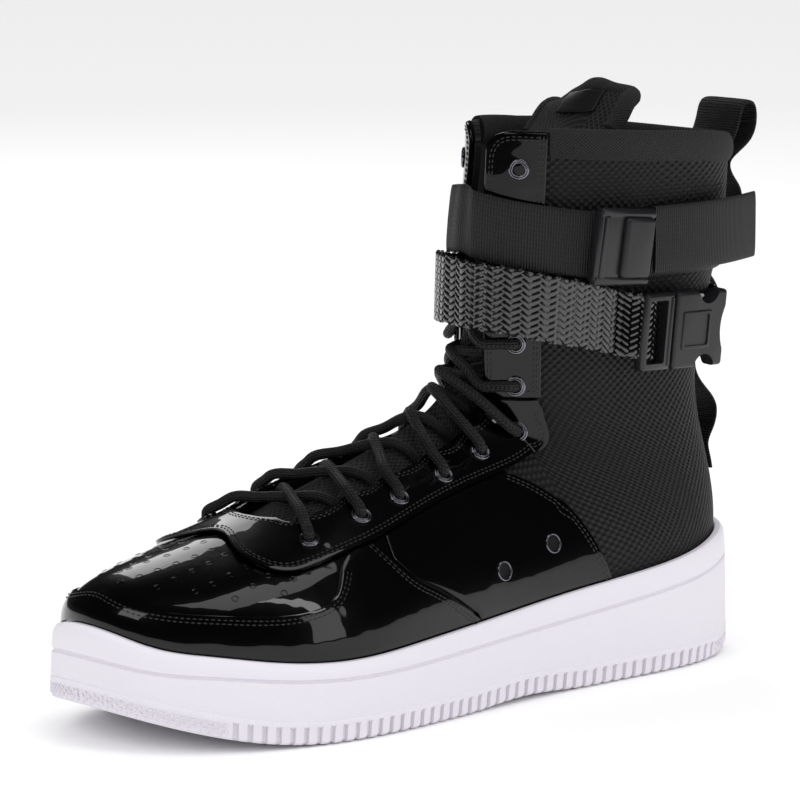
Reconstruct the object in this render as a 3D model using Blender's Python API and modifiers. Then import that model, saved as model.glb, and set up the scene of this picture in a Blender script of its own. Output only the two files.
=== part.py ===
"""A left high-top boot: a hollow laced upper on a rubber cup sole.

Metres, +Z up, toe towards -Y, the outer (lateral) side towards +X.
The origin is on the floor, under the middle of the heel's flat.
"""
import bpy
import bmesh
import math
import numpy as np
from mathutils import Matrix, Vector

# Sole sizes
SOLE_LENGTH = 0.300
BALL_HALF_WIDTH = 0.055
HEEL_BEHIND_ORIGIN = 0.045
RIM_HEIGHT = 0.030
RIM_THICKNESS = 0.005
TOE_SPRING = 0.014
HEEL_BEVEL = 0.005
ARCH_RISE = 0.0015
BALL_FLOOR = 0.012
HEEL_FLOOR = 0.021
SLOT_HEIGHT = 0.0065
SLOT_WIDTH = 0.0020
SLOT_DEPTH = 0.0013
SLOT_PITCH = 0.0052
GROOVE_DEPTH = 0.0010
TREAD_DEPTH = 0.0015
TREAD_WIDTH = 0.0030
TREAD_PITCH = 0.0130

# Upper sizes
UPPER_WALL = 0.0022
BEND_HEIGHT = 0.107
COLLAR_HEIGHT = 0.206
COLLAR_FALL = 0.009
SHAFT_HALF_WIDTH = 0.039
LATERAL_FLAP_X = 0.009
MEDIAL_FLAP_X = 0.012
INSOLE_THICKNESS = 0.004
OVERLAY_THICKNESS = 0.0010
EYESTAY_THICKNESS = 0.0015
TONGUE_THICKNESS = 0.0050
TONGUE_PEAK = 0.220

# Trim sizes
EYELET_RADIUS = 0.0042
EYELET_HOLE = 0.0025
EYELET_HEIGHT = 0.0011
VENT_RADIUS = 0.0038
LACE_DIAMETER = 0.0040
STRAP_WIDTH = 0.0250
STRAP_THICKNESS = 0.0016
BRAID_WIDTH = 0.0250
BRAID_THICKNESS = 0.0028
WEBBING_WIDTH = 0.0240
WEBBING_THICKNESS = 0.0016
CAM_LENGTH = 0.0280
CAM_HEIGHT = 0.0290
RELEASE_LENGTH = 0.0440
RELEASE_HEIGHT = 0.0290
BUCKLE_THICKNESS = 0.0060
GAP = 0.0003
OVERLAY_GAP = 0.0004
EYESTAY_GAP = 0.0007

# Sole outline: share of the length from the heel, outer and inner half
# widths as shares of the half ball width
OUTLINE = [
    # along, outer, inner
    (0.00, 0.000, 0.000),
    (0.03, 0.400, 0.400),
    (0.08, 0.618, 0.618),
    (0.15, 0.736, 0.727),
    (0.25, 0.773, 0.745),
    (0.35, 0.791, 0.727),
    (0.45, 0.836, 0.745),
    (0.55, 0.909, 0.800),
    (0.65, 0.982, 0.891),
    (0.72, 1.000, 0.945),
    (0.80, 0.945, 0.973),
    (0.88, 0.791, 0.909),
    (0.94, 0.564, 0.764),
    (0.98, 0.291, 0.527),
    (1.00, -0.109, 0.109),
]

# Sole side: share of the length, rim height and rim band as shares of the rim height at the ball
SIDE = [
    # along, rim top, rim band
    (0.00, 1.640, 0.33),
    (0.06, 1.570, 0.33),
    (0.12, 1.460, 0.32),
    (0.20, 1.350, 0.31),
    (0.35, 1.220, 0.31),
    (0.50, 1.090, 0.27),
    (0.62, 1.010, 0.24),
    (0.74, 0.950, 0.20),
    (0.84, 1.020, 0.21),
    (0.92, 1.140, 0.24),
    (0.97, 1.250, 0.29),
    (1.00, 1.420, 0.36),
]

# Shaft: share of the way from bend to collar; back, outer front and inner front
# as shares of the sole length from the heel; half width as a share of the shaft's
SHAFT = [
    # height, back, outer front, inner front, half width
    (0.00, 0.0615, 0.412, 0.400, 0.860),
    (0.20, 0.0560, 0.412, 0.398, 0.880),
    (0.40, 0.0370, 0.412, 0.393, 0.925),
    (0.60, 0.0190, 0.412, 0.386, 0.970),
    (0.80, 0.0115, 0.410, 0.374, 1.000),
    (1.00, 0.0100, 0.406, 0.368, 1.020),
]
SHAFT_CENTRE = 0.210
SHAFT_ROUNDNESS = 0.87
INNER_FRONT_ROUNDNESS = 1.05

# Ribs from the sole's rim to the throat: side, share of the length at the rim, throat
# point as shares of the half ball width, sole length and bend height, then the
# rib's rise at the rim, its reach at the throat and its drop there
RIBS = [
    # side, along, throat x, throat along, throat height, rise, reach, drop
    (+1, 0.43, 0.200, 0.453, 0.893, 0.42, 0.42, 0.14),
    (+1, 0.53, 0.255, 0.520, 0.830, 0.46, 0.47, 0.11),
    (+1, 0.61, 0.291, 0.590, 0.779, 0.50, 0.52, 0.12),
    (+1, 0.68, 0.309, 0.657, 0.732, 0.52, 0.52, 0.14),
    (+1, 0.76, 0.273, 0.707, 0.690, 0.55, 0.52, 0.19),
    (+1, 0.88, 0.150, 0.737, 0.671, 0.58, 0.52, 0.29),
    (+1, 1.00, -0.055, 0.747, 0.668, 0.60, 0.50, 0.38),
    (-1, 0.88, -0.260, 0.737, 0.671, 0.58, 0.52, 0.29),
    (-1, 0.76, -0.345, 0.707, 0.690, 0.55, 0.52, 0.19),
    (-1, 0.68, -0.364, 0.657, 0.732, 0.52, 0.52, 0.14),
    (-1, 0.61, -0.345, 0.590, 0.779, 0.50, 0.52, 0.12),
    (-1, 0.53, -0.309, 0.520, 0.830, 0.46, 0.47, 0.11),
    (-1, 0.43, -0.265, 0.448, 0.893, 0.42, 0.42, 0.14),
]
BEND_ALONG = 0.33
BEND_RIB = (0.40, 0.40, 0.20)
SHAFT_RIB = (0.36, 0.00, 0.33)
RIM_BULGE = 0.0015


def spline(knots, rows):
    """Natural cubic through the rows, as a function of the knot value."""
    knots = np.asarray(knots, float)
    rows = np.asarray(rows, float)
    if rows.ndim == 1:
        rows = rows[:, None]
    count = len(knots)
    step = np.diff(knots)
    system = np.zeros((count, count))
    right = np.zeros_like(rows)
    system[0, 0] = 1.0
    system[-1, -1] = 1.0
    for i in range(1, count - 1):
        system[i, i - 1] = step[i - 1]
        system[i, i] = 2 * (step[i - 1] + step[i])
        system[i, i + 1] = step[i]
        right[i] = 6 * ((rows[i + 1] - rows[i]) / step[i] - (rows[i] - rows[i - 1]) / step[i - 1])
    bend = np.linalg.solve(system, right)

    def value(x):
        i = int(np.clip(np.searchsorted(knots, x) - 1, 0, count - 2))
        h = step[i]
        a = (knots[i + 1] - x) / h
        b = (x - knots[i]) / h
        curve = ((a ** 3 - a) * bend[i] + (b ** 3 - b) * bend[i + 1]) * h * h / 6
        result = a * rows[i] + b * rows[i + 1] + curve
        return result if len(result) > 1 else float(result[0])

    return value


def turn_of(along):
    """Angle round the sole outline at a share of its length, 0 at the heel, pi at the toe."""
    return math.acos(1 - 2 * along)


def along_of(turn):
    return (1 - math.cos(turn)) / 2


def outline_spline():
    outer = [(turn_of(a), o) for a, o, _ in OUTLINE]
    inner = [(2 * math.pi - turn_of(a), -i) for a, _, i in OUTLINE[-2:0:-1]]
    loop = outer + inner
    before = [(t - 2 * math.pi, x) for t, x in loop[-4:]]
    after = [(t + 2 * math.pi, x) for t, x in loop[:4]]
    table = before + loop + after
    return spline([t for t, _ in table], [x for _, x in table])


OUTLINE_X = outline_spline()
SIDE_HEIGHTS = spline([r[0] for r in SIDE], [r[1:] for r in SIDE])
SHAFT_SIZES = spline([r[0] for r in SHAFT], [r[1:] for r in SHAFT])


def y_at(along):
    return HEEL_BEHIND_ORIGIN - along * SOLE_LENGTH


def outline_point(turn, inset=0.0):
    """Point of the sole outline moved inwards by the inset, with its outward normal."""
    def place(t):
        return np.array([OUTLINE_X(t % (2 * math.pi)) * BALL_HALF_WIDTH, y_at(along_of(t))])
    step = 1e-3
    tangent = place(turn + step) - place(turn - step)
    normal = np.array([-tangent[1], tangent[0]]) / np.linalg.norm(tangent)
    return place(turn) - normal * inset, normal


def bottom_height(along):
    """Floor side of the sole: bevelled heel, raised arch and toe spring."""
    if along < 0.10:
        return HEEL_BEVEL * ((0.10 - along) / 0.10) ** 2
    if 0.32 < along < 0.56:
        return ARCH_RISE * math.sin(math.pi * (along - 0.32) / 0.24) ** 2
    if along > 0.76:
        return TOE_SPRING * ((along - 0.76) / 0.24) ** 2
    return 0.0


def rim_height(along):
    return RIM_HEIGHT * SIDE_HEIGHTS(along)[0]


def groove_height(along):
    return RIM_HEIGHT * (SIDE_HEIGHTS(along)[0] - SIDE_HEIGHTS(along)[1])


def cup_floor(along):
    """Upper face of the sole inside its rim, falling from heel to ball."""
    slope = min(max((along - 0.20) / 0.45, 0.0), 1.0)
    slope = slope * slope * (3 - 2 * slope)
    return HEEL_FLOOR + (BALL_FLOOR - HEEL_FLOOR) * slope + bottom_height(max(along, 0.60))


def flap_angle(side, half_width):
    flap = LATERAL_FLAP_X if side > 0 else MEDIAL_FLAP_X
    roundness = SHAFT_ROUNDNESS if side > 0 else INNER_FRONT_ROUNDNESS
    return math.pi - math.asin((flap / half_width) ** (1 / roundness))


def shaft_point(side, angle, height, out=0.0):
    """Point on the shaft. The angle runs from 0 at the back to pi at the front."""
    back, outer, inner, width = SHAFT_SIZES(min(max(height, -0.2), 1.1))
    half = width * SHAFT_HALF_WIDTH
    front = outer if side > 0 else inner
    edge = flap_angle(side, half)
    if angle > edge:
        share = (angle - edge) / (math.pi - edge)
        front += ((outer + inner) / 2 - front) * share * share * (3 - 2 * share)
    inner_front = side < 0 and math.cos(angle) < 0
    roundness = INNER_FRONT_ROUNDNESS if inner_front else SHAFT_ROUNDNESS
    sine = math.copysign(abs(math.sin(angle)) ** roundness, math.sin(angle))
    cosine = abs(math.cos(angle)) ** roundness
    reach = (SHAFT_CENTRE - back) if math.cos(angle) > 0 else -(front - SHAFT_CENTRE)
    x = side * (half + out) * sine
    y = y_at(SHAFT_CENTRE) + (reach * SOLE_LENGTH + math.copysign(out, reach)) * cosine
    fall = COLLAR_FALL * ((1 + math.cos(angle)) / 2) ** 1.5
    z = BEND_HEIGHT + height * (COLLAR_HEIGHT - fall - BEND_HEIGHT)
    return np.array([x, y, z])


def shaft_surface(side, share, height):
    """Point on the shaft at a share of the way from the back to its front edge."""
    half = SHAFT_SIZES(height)[3] * SHAFT_HALF_WIDTH
    return shaft_point(side, share * flap_angle(side, half), height)


def rib_table():
    """Rows along the throat from the outer bend past the toe to the inner bend."""
    rows = []
    for side, along, x, throat, height, rise, reach, drop in RIBS:
        turn = turn_of(along) if side > 0 else 2 * math.pi - turn_of(along)
        point = (x * BALL_HALF_WIDTH, y_at(throat), height * BEND_HEIGHT)
        rows.append((turn, *point, rise, reach, drop))
    bend_turn = turn_of(BEND_ALONG)
    rows.insert(0, (bend_turn, *shaft_surface(+1, 1.0, 0.0), *BEND_RIB))
    rows.append((2 * math.pi - bend_turn, *shaft_surface(-1, 1.0, 0.0), *BEND_RIB))
    return rows


RIB_ROWS = rib_table()
FOOT_RIB = spline([r[0] for r in RIB_ROWS], [r[1:] for r in RIB_ROWS])


def rib_at(girth):
    """Rim point, throat or bend point and the handles of the rib at a girth value.

    The girth runs 0 to 1 from the heel along the outer side to the bend, 1 to 3
    round the toe to the inner bend and 3 to 4 back to the heel.
    """
    bend_turn = turn_of(BEND_ALONG)
    if 1 < girth < 3:
        turn = bend_turn + (girth - 1) / 2 * (2 * math.pi - 2 * bend_turn)
        row = FOOT_RIB(turn)
        top = row[:3]
        rise, reach, drop = row[3:]
    else:
        side = 1 if girth <= 1 else -1
        share = girth if side > 0 else 4 - girth
        turn = share * bend_turn if side > 0 else 2 * math.pi - share * bend_turn
        top = shaft_surface(side, share, 0.0)
        blend = max(0.0, (share - 0.45) / 0.55) ** 2
        rise, reach, drop = (s + (b - s) * blend for s, b in zip(SHAFT_RIB, BEND_RIB))
    rim, normal = outline_point(turn, RIM_THICKNESS + GAP)
    base = np.array([rim[0], rim[1], rim_height(along_of(turn))])
    outward = base[:2] - top[:2]
    length = np.linalg.norm(outward)
    direction = outward / length
    if not 1 < girth < 3:
        step = 0.01
        ahead = shaft_surface(side, share + step, 0.0)[:2]
        behind = shaft_surface(side, share - step, 0.0)[:2]
        ring = (behind - ahead) / np.linalg.norm(behind - ahead)
        weight = share ** 6
        direction = ring * (1 - weight) + direction * weight
    climb = top[2] - base[2]
    first = base + np.array([normal[0] * RIM_BULGE, normal[1] * RIM_BULGE, rise * climb])
    flat = direction * reach * length
    second = top + np.array([flat[0], flat[1], -drop * climb])
    return base, first, second, top


def surface(girth, rise):
    """Outer face of the upper. Rise runs 0 to 1 from rim to throat, 1 to 2 up the shaft."""
    girth = girth % 4
    if rise <= 1:
        base, first, second, top = rib_at(girth)
        t = max(rise, 0.0)
        point = ((1 - t) ** 3 * base + 3 * t * (1 - t) ** 2 * first
                 + 3 * t * t * (1 - t) * second + t ** 3 * top)
        return point
    side = 1 if girth <= 1.5 else -1
    share = girth if side > 0 else 4 - girth
    return shaft_surface(side, share, rise - 1)


def surface_normal(girth, rise):
    """Outward normal of the upper, from small steps that stay on one patch."""
    step = 0.004
    low = rise - step if rise > step else rise
    high = rise + step if (rise < 1 - step or rise > 1) else rise
    if rise == 1 and (girth <= 1 or girth >= 3):
        high = rise + step
    up = surface(girth, high) - surface(girth, low)
    behind = girth - step
    ahead = girth + step
    if rise > 1 and girth <= 1 < ahead:
        ahead = girth
    if rise > 1 and behind < 3 <= girth:
        behind = girth
    round_way = surface(ahead, rise) - surface(behind, rise)
    normal = np.cross(up, round_way)
    return normal / np.linalg.norm(normal)


def lifted(girth, rise, lift):
    return surface(girth, rise) + surface_normal(girth, rise) * lift


def clear_scene():
    for item in list(bpy.data.objects):
        bpy.data.objects.remove(item, do_unlink=True)


def make_collection(name):
    group = bpy.data.collections.new(name)
    bpy.context.scene.collection.children.link(group)
    return group


def make_material(name, colour, roughness, metallic=0.0):
    made = bpy.data.materials.new(name)
    made.use_nodes = True
    shader = made.node_tree.nodes["Principled BSDF"]
    shader.inputs["Base Color"].default_value = (*colour, 1.0)
    shader.inputs["Roughness"].default_value = roughness
    shader.inputs["Metallic"].default_value = metallic
    return made


clear_scene()
BOOT = make_collection("high_top_boot")
CUTTERS = make_collection("cutters")
RUBBER = make_material("white_rubber", (0.72, 0.71, 0.76), 0.55)
PATENT = make_material("patent_leather", (0.004, 0.004, 0.005), 0.08)
NYLON = make_material("woven_nylon", (0.010, 0.010, 0.012), 0.75)
KNIT = make_material("collar_knit", (0.012, 0.012, 0.014), 0.90)
CORD = make_material("braided_cord", (0.008, 0.008, 0.009), 0.80)
WEBBING = make_material("ribbed_webbing", (0.009, 0.009, 0.010), 0.80)
PLASTIC = make_material("moulded_plastic", (0.020, 0.019, 0.022), 0.45)
METAL = make_material("black_metal", (0.020, 0.020, 0.022), 0.30, 0.8)
FOAM = make_material("foot_bed", (0.015, 0.015, 0.016), 0.90)


def mesh_object(name, points, faces, material, outward=True):
    """Object from points and faces, with its faces turned outwards if it is closed."""
    mesh = bpy.data.meshes.new(name)
    mesh.from_pydata([tuple(float(v) for v in p) for p in points], [], faces)
    if outward:
        work = bmesh.new()
        work.from_mesh(mesh)
        bmesh.ops.recalc_face_normals(work, faces=work.faces)
        work.to_mesh(mesh)
        work.free()
    mesh.materials.append(material)
    mesh.shade_smooth()
    mesh.set_sharp_from_angle(angle=math.radians(35))
    made = bpy.data.objects.new(name, mesh)
    BOOT.objects.link(made)
    return made


def add_wall(item, thickness, offset):
    """Give an open surface a wall. Offset -1 puts it inside, +1 outside."""
    wall = item.modifiers.new("wall", "SOLIDIFY")
    wall.thickness = thickness
    wall.offset = offset
    wall.use_even_offset = True
    return wall


def rings_body(name, rings, material):
    """Closed body from stacked rings, closed across its first and last ring by strips."""
    count = len(rings[0])
    points = [p for ring in rings for p in ring]
    faces = []
    for k in range(len(rings) - 1):
        for i in range(count):
            j = (i + 1) % count
            faces.append((k * count + i, k * count + j, (k + 1) * count + j, (k + 1) * count + i))
    for start in (0, (len(rings) - 1) * count):
        half = count // 2
        faces.append((start, start + 1, start + count - 1))
        for i in range(1, half - 1):
            faces.append((start + i, start + i + 1, start + count - i - 1, start + count - i))
        faces.append((start + half - 1, start + half, start + half + 1))
    return mesh_object(name, points, faces, material)


def build_sole():
    """Cup sole: chamfered floor edge, side band, groove, rim band, rim and hollow."""
    count = 60
    turns = [2 * math.pi * i / count for i in range(count)]

    def ring(inset, height):
        points = []
        for turn in turns:
            place, _ = outline_point(turn, inset)
            points.append((place[0], place[1], height(along_of(turn))))
        return points

    rings = [
        ring(0.0035, bottom_height),
        ring(0.0010, lambda a: bottom_height(a) + 0.0014),
        ring(0.0002, lambda a: bottom_height(a) + SLOT_HEIGHT + 0.0010),
        ring(0.0004, lambda a: groove_height(a) - GROOVE_DEPTH),
        ring(0.0004 + GROOVE_DEPTH, groove_height),
        ring(0.0008, lambda a: groove_height(a) + GROOVE_DEPTH),
        ring(0.0012, lambda a: rim_height(a) - 0.0012),
        ring(0.0022, rim_height),
        ring(RIM_THICKNESS, rim_height),
        ring(RIM_THICKNESS, cup_floor),
    ]
    return rings_body("sole", rings, RUBBER)


def box_corners(centre, axes, half):
    points = []
    for a in (-1, 1):
        for b in (-1, 1):
            for c in (-1, 1):
                points.append(centre + axes[0] * half[0] * a + axes[1] * half[1] * b + axes[2] * half[2] * c)
    faces = [(0, 1, 3, 2), (4, 6, 7, 5), (0, 4, 5, 1), (2, 3, 7, 6), (0, 2, 6, 4), (1, 5, 7, 3)]
    return points, faces


def cutter_object(name, boxes):
    """Hidden cutter made of separate boxes."""
    points = []
    faces = []
    for corners, quads in boxes:
        start = len(points)
        points.extend(corners)
        faces.extend([tuple(start + i for i in quad) for quad in quads])
    made = mesh_object(name, points, faces, RUBBER)
    BOOT.objects.unlink(made)
    CUTTERS.objects.link(made)
    made.hide_render = True
    made.display_type = "WIRE"
    return made


def cut_with(item, cutter):
    cut = item.modifiers.new("cut", "BOOLEAN")
    cut.operation = "DIFFERENCE"
    cut.solver = "EXACT"
    cut.object = cutter


def side_slots():
    """Upright slots along both lower edges, from the heel to the toe's textured part."""
    boxes = []
    up = np.array([0.0, 0.0, 1.0])
    for side in (1, -1):
        travelled = 0.0
        last = None
        for step in range(4001):
            along = 0.10 + 0.79 * step / 4000
            turn = turn_of(along) if side > 0 else 2 * math.pi - turn_of(along)
            place, normal = outline_point(turn)
            if last is not None:
                travelled += np.linalg.norm(place - last)
            last = place
            if travelled < SLOT_PITCH and step:
                continue
            travelled = 0.0
            outward = np.array([normal[0], normal[1], 0.0])
            tangent = np.array([-normal[1], normal[0], 0.0])
            low = bottom_height(along) - 0.002
            high = bottom_height(along) + SLOT_HEIGHT
            centre = np.array([place[0], place[1], (low + high) / 2]) + outward * (0.004 - SLOT_DEPTH)
            half = (SLOT_WIDTH / 2, 0.004, (high - low) / 2)
            boxes.append(box_corners(centre, (tangent, outward, up), half))
    return boxes


def tread_grooves():
    """Cross grooves under the heel and the forefoot."""
    boxes = []
    axes = (np.array([1.0, 0, 0]), np.array([0, 1.0, 0]), np.array([0, 0, 1.0]))
    for start, stop in ((0.105, 0.30), (0.58, 0.755)):
        count = int((stop - start) * SOLE_LENGTH / TREAD_PITCH)
        for i in range(count + 1):
            y = y_at(start) - (i + 0.5) * TREAD_PITCH
            reach = BALL_HALF_WIDTH * 0.52
            centre = np.array([0.0, y, TREAD_DEPTH / 2 - 0.002])
            half = (reach, TREAD_WIDTH / 2, TREAD_DEPTH / 2 + 0.002)
            boxes.append(box_corners(centre, axes, half))
    return boxes


def build_insole():
    count = 40
    inset = RIM_THICKNESS + UPPER_WALL + 4 * GAP
    turns = [2 * math.pi * i / count for i in range(count)]
    rings = []
    for lift in (GAP, GAP + INSOLE_THICKNESS):
        ring = []
        for turn in turns:
            place, _ = outline_point(turn, inset)
            ring.append((place[0], place[1], cup_floor(along_of(turn)) + lift))
        rings.append(ring)
    return rings_body("insole", rings, FOAM)


# Facets of the upper: columns from heel to bend and round the foot, then rows
SHAFT_COLUMNS = 9
FOOT_COLUMNS = 24
FOOT_LEVELS = [0.0, 0.07, 0.15, 0.25, 0.38, 0.53, 0.69, 0.85, 1.0]
SHAFT_LEVELS = [1.16, 1.33, 1.50, 1.66, 1.82, 1.93, 2.0]
LEVELS = FOOT_LEVELS + SHAFT_LEVELS


def girth_columns():
    """Girth values round the lower upper, heel first, closed."""
    outer = [i / SHAFT_COLUMNS for i in range(SHAFT_COLUMNS + 1)]
    foot = [1 + 2 * i / FOOT_COLUMNS for i in range(1, FOOT_COLUMNS)]
    inner = [3 + i / SHAFT_COLUMNS for i in range(SHAFT_COLUMNS)]
    return outer + foot + inner


COLUMNS = girth_columns() + [4.0]
CORNERS = {}


def facet_corner(column, level, lift):
    key = (column, level, lift)
    if key not in CORNERS:
        girth = COLUMNS[column]
        if level > 1 and girth < 2:
            girth = min(girth, 1.0)
        CORNERS[key] = lifted(girth % 4, level, lift)
    return CORNERS[key]


def facet_point(girth, rise, lift):
    """Point above the upper's own facets, so that what lies on it keeps one gap."""
    girth = girth % 4
    column = int(np.clip(np.searchsorted(COLUMNS, girth, side="right") - 1, 0, len(COLUMNS) - 2))
    row = int(np.clip(np.searchsorted(LEVELS, rise, side="right") - 1, 0, len(LEVELS) - 2))
    across = (girth - COLUMNS[column]) / (COLUMNS[column + 1] - COLUMNS[column])
    up = (rise - LEVELS[row]) / (LEVELS[row + 1] - LEVELS[row])
    if rise <= 1:
        low, high = LEVELS[row], LEVELS[row + 1]
        if low >= 1:
            low, high, up = LEVELS[row - 1], 1.0, 1.0
    else:
        low, high = LEVELS[row], LEVELS[row + 1]
    sides = []
    for corner in (column, column + 1):
        bottom = facet_corner(corner, low, lift)
        top = facet_corner(corner, high, lift)
        sides.append(bottom * (1 - up) + top * up)
    return sides[0] * (1 - across) + sides[1] * across


def build_upper():
    """One hollow shell, open at the collar, at the throat and underneath."""
    girths = girth_columns()
    count = len(girths)
    points = []
    bend_turn = turn_of(BEND_ALONG)
    for girth in girths:
        if 1 < girth < 3:
            turn = bend_turn + (girth - 1) / 2 * (2 * math.pi - 2 * bend_turn)
        else:
            turn = girth * bend_turn if girth <= 1 else 2 * math.pi - (4 - girth) * bend_turn
        place, _ = outline_point(turn, RIM_THICKNESS + GAP)
        points.append((place[0], place[1], cup_floor(along_of(turn)) + GAP))
    for level in FOOT_LEVELS:
        for girth in girths:
            points.append(surface(girth, level))
    faces = []
    for row in range(len(FOOT_LEVELS)):
        for i in range(count):
            j = (i + 1) % count
            faces.append((row * count + i, (row + 1) * count + i, (row + 1) * count + j, row * count + j))
    top = len(FOOT_LEVELS) * count
    order = list(range(count - SHAFT_COLUMNS, count)) + list(range(0, SHAFT_COLUMNS + 1))
    previous = [top + i for i in order]
    for level in SHAFT_LEVELS:
        start = len(points)
        for i in order:
            points.append(surface(girths[i], level))
        current = [start + k for k in range(len(order))]
        for k in range(len(order) - 1):
            faces.append((previous[k], current[k], current[k + 1], previous[k + 1]))
        previous = current
    upper = mesh_object("upper", points, faces, NYLON, outward=False)
    turn_outwards(upper)
    add_wall(upper, UPPER_WALL, -1)
    return upper


def turn_outwards(item):
    """Flip an open surface whose faces point towards the middle of the foot."""
    mesh = item.data
    total = 0.0
    for face in mesh.polygons:
        along = np.clip((HEEL_BEHIND_ORIGIN - face.center.y) / SOLE_LENGTH, 0.25, 0.75)
        middle = Vector((0.0, y_at(along), 0.045 if along > 0.45 else face.center.z))
        total += face.normal.dot(face.center - middle) * face.area
    if total < 0:
        mesh.flip_normals()


def patch(name, ends, low, high, thickness, material, seams=(), lift=OVERLAY_GAP):
    """Overlay on the upper between two curves of rise, lying just off its outer face.

    It follows the upper's own facets: each column holds all of the upper's rows, and
    those outside the overlay fall together on its edge and are merged.
    """
    girths = set(seams) | set(ends)
    for column in COLUMNS:
        for turned in (column - 4, column):
            if ends[0] < turned < ends[1]:
                girths.add(turned)
    girths = sorted(girths)
    points = []
    for girth in girths:
        bottom = low(girth)
        top = high(girth)
        for level in LEVELS:
            points.append(facet_point(girth, min(max(level, bottom), top), lift))
    rows = len(LEVELS)
    faces = []
    for i in range(len(girths) - 1):
        for k in range(rows - 1):
            a = i * rows + k
            b = (i + 1) * rows + k
            faces.append((a, a + 1, b + 1, b))
    made = mesh_object(name, points, faces, material, outward=False)
    work = bmesh.new()
    work.from_mesh(made.data)
    bmesh.ops.remove_doubles(work, verts=work.verts, dist=1e-5)
    bmesh.ops.dissolve_degenerate(work, edges=work.edges, dist=1e-5)
    work.to_mesh(made.data)
    work.free()
    turn_outwards(made)
    add_wall(made, thickness, 1)
    return made


# Lower edge of the eyestay, from its rear corner to the toe: girth, rise
EYESTAY_EDGE = [
    (0.82, 0.900), (0.86, 0.760), (0.94, 0.660), (1.03, 0.625), (1.14, 0.665), (1.26, 0.650),
    (1.36, 0.605), (1.43, 0.605), (1.49, 0.575), (1.56, 0.545), (1.64, 0.640), (1.78, 0.800),
    (1.90, 0.860), (2.00, 0.875),
]
# Front edge of the toe overlay, round the toe panel
PANEL_EDGE = [
    (1.45, 0.400), (1.47, 0.310), (1.53, 0.262), (1.61, 0.245), (1.70, 0.238), (1.79, 0.228),
    (1.86, 0.210), (1.92, 0.222), (2.00, 0.262),
]
# Rear seams of the toe overlay and of the quarter overlay
TOE_SEAM = [(1.20, 0.015), (1.24, 0.120), (1.27, 0.195), (1.32, 0.305), (1.35, 0.460), (1.37, 0.600)]
QUARTER_SEAM = [
    (0.92, 0.015), (0.935, 0.090), (0.95, 0.180), (0.975, 0.310), (1.01, 0.410), (1.04, 0.520),
    (1.08, 0.630),
]
SEAM_GAP = 0.020
RIM_CLEAR = 0.012
SHAFT_EYESTAY_REAR = 0.815
BINDING_LOW = 1.93
# Eyelets of one row, from the toe up: girth, rise
EYELETS = [
    (1.49, 0.76), (1.37, 0.78), (1.30, 0.78), (1.21, 0.78), (1.11, 0.80), (0.99, 0.76),
    (0.89, 1.05), (0.89, 1.21), (0.89, 1.375), (0.89, 1.54), (0.89, 1.70), (0.89, 1.86),
]
VENTS = [(1.15, 0.20), (1.05, 0.24)]
BEND_EYELET = 6
# Extra height of the eyelet at the bend: outer side, inner side
BEND_EYELET_LIFT = {1: 0.0034, -1: 0.0014}


def table_value(table, x):
    return float(np.interp(x, [row[0] for row in table], [row[1] for row in table]))


def near_girth(girth):
    """The same place on the outer side, for a girth on either side."""
    return girth if girth <= 2 else 4 - girth


def eyestay_edge(girth):
    return table_value(EYESTAY_EDGE, near_girth(girth))


def toe_overlay_top(girth):
    near = near_girth(girth)
    if near < 1.37:
        return table_value(TOE_SEAM, near)
    if near < 1.45:
        return eyestay_edge(near) - SEAM_GAP
    return table_value(PANEL_EDGE, near)


def quarter_low(girth):
    near = near_girth(girth)
    return max(RIM_CLEAR, table_value(TOE_SEAM, near) + SEAM_GAP) if near > 1.20 else RIM_CLEAR


def quarter_high(girth):
    near = near_girth(girth)
    seam = table_value(QUARTER_SEAM, near) if near < 1.08 else 1.0
    return min(seam, eyestay_edge(near) - SEAM_GAP)


def mirrored(girths):
    return sorted(4 - g for g in girths)


def build_overlays():
    """Toe overlay, quarters, lower eyestay, shaft eyestays and collar binding."""
    half = [1.24, 1.27, 1.30, 1.32, 1.34, 1.355, 1.37, 1.41, 1.449, 1.451, 1.46, 1.48, 1.53, 1.86]
    patch("toe_overlay", (1.205, 2.795), lambda g: RIM_CLEAR, toe_overlay_top, OVERLAY_THICKNESS, PATENT,
          half + mirrored(half))
    seams = [0.95, 0.975, 1.01, 1.04, 1.08, 1.20, 1.24, 1.27, 1.30, 1.32, 1.34]
    patch("quarter_outer", (0.93, 1.355), quarter_low, quarter_high, OVERLAY_THICKNESS, PATENT, seams)
    patch("quarter_inner", (2.645, 3.07), quarter_low, quarter_high, OVERLAY_THICKNESS, PATENT,
          mirrored(seams))
    half = [0.86, 0.94, 1.14, 1.26, 1.36, 1.43, 1.49, 1.56, 1.64, 1.78]
    patch("lower_eyestay", (0.825, 3.175), eyestay_edge, lambda g: 0.985, EYESTAY_THICKNESS, PATENT,
          half + mirrored(half), EYESTAY_GAP)
    for name, ends in (("outer", (SHAFT_EYESTAY_REAR, 0.995)), ("inner", (3.005, 4 - SHAFT_EYESTAY_REAR))):
        patch("shaft_eyestay_" + name, ends, lambda g: 1.015, lambda g: 1.975, EYESTAY_THICKNESS, PATENT,
              (), EYESTAY_GAP)
    behind = SHAFT_EYESTAY_REAR - SEAM_GAP
    patch("collar_binding", (-behind, behind), lambda g: BINDING_LOW, lambda g: 2.0, OVERLAY_THICKNESS, KNIT)


def standing_on(girth, rise, lift):
    """Matrix of a piece that stands on the upper, its own Z along the surface normal."""
    normal = Vector(surface_normal(girth, rise))
    turn = Vector((0, 0, 1)).rotation_difference(normal).to_matrix().to_4x4()
    return Matrix.Translation(Vector(lifted(girth, rise, lift))) @ turn


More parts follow.
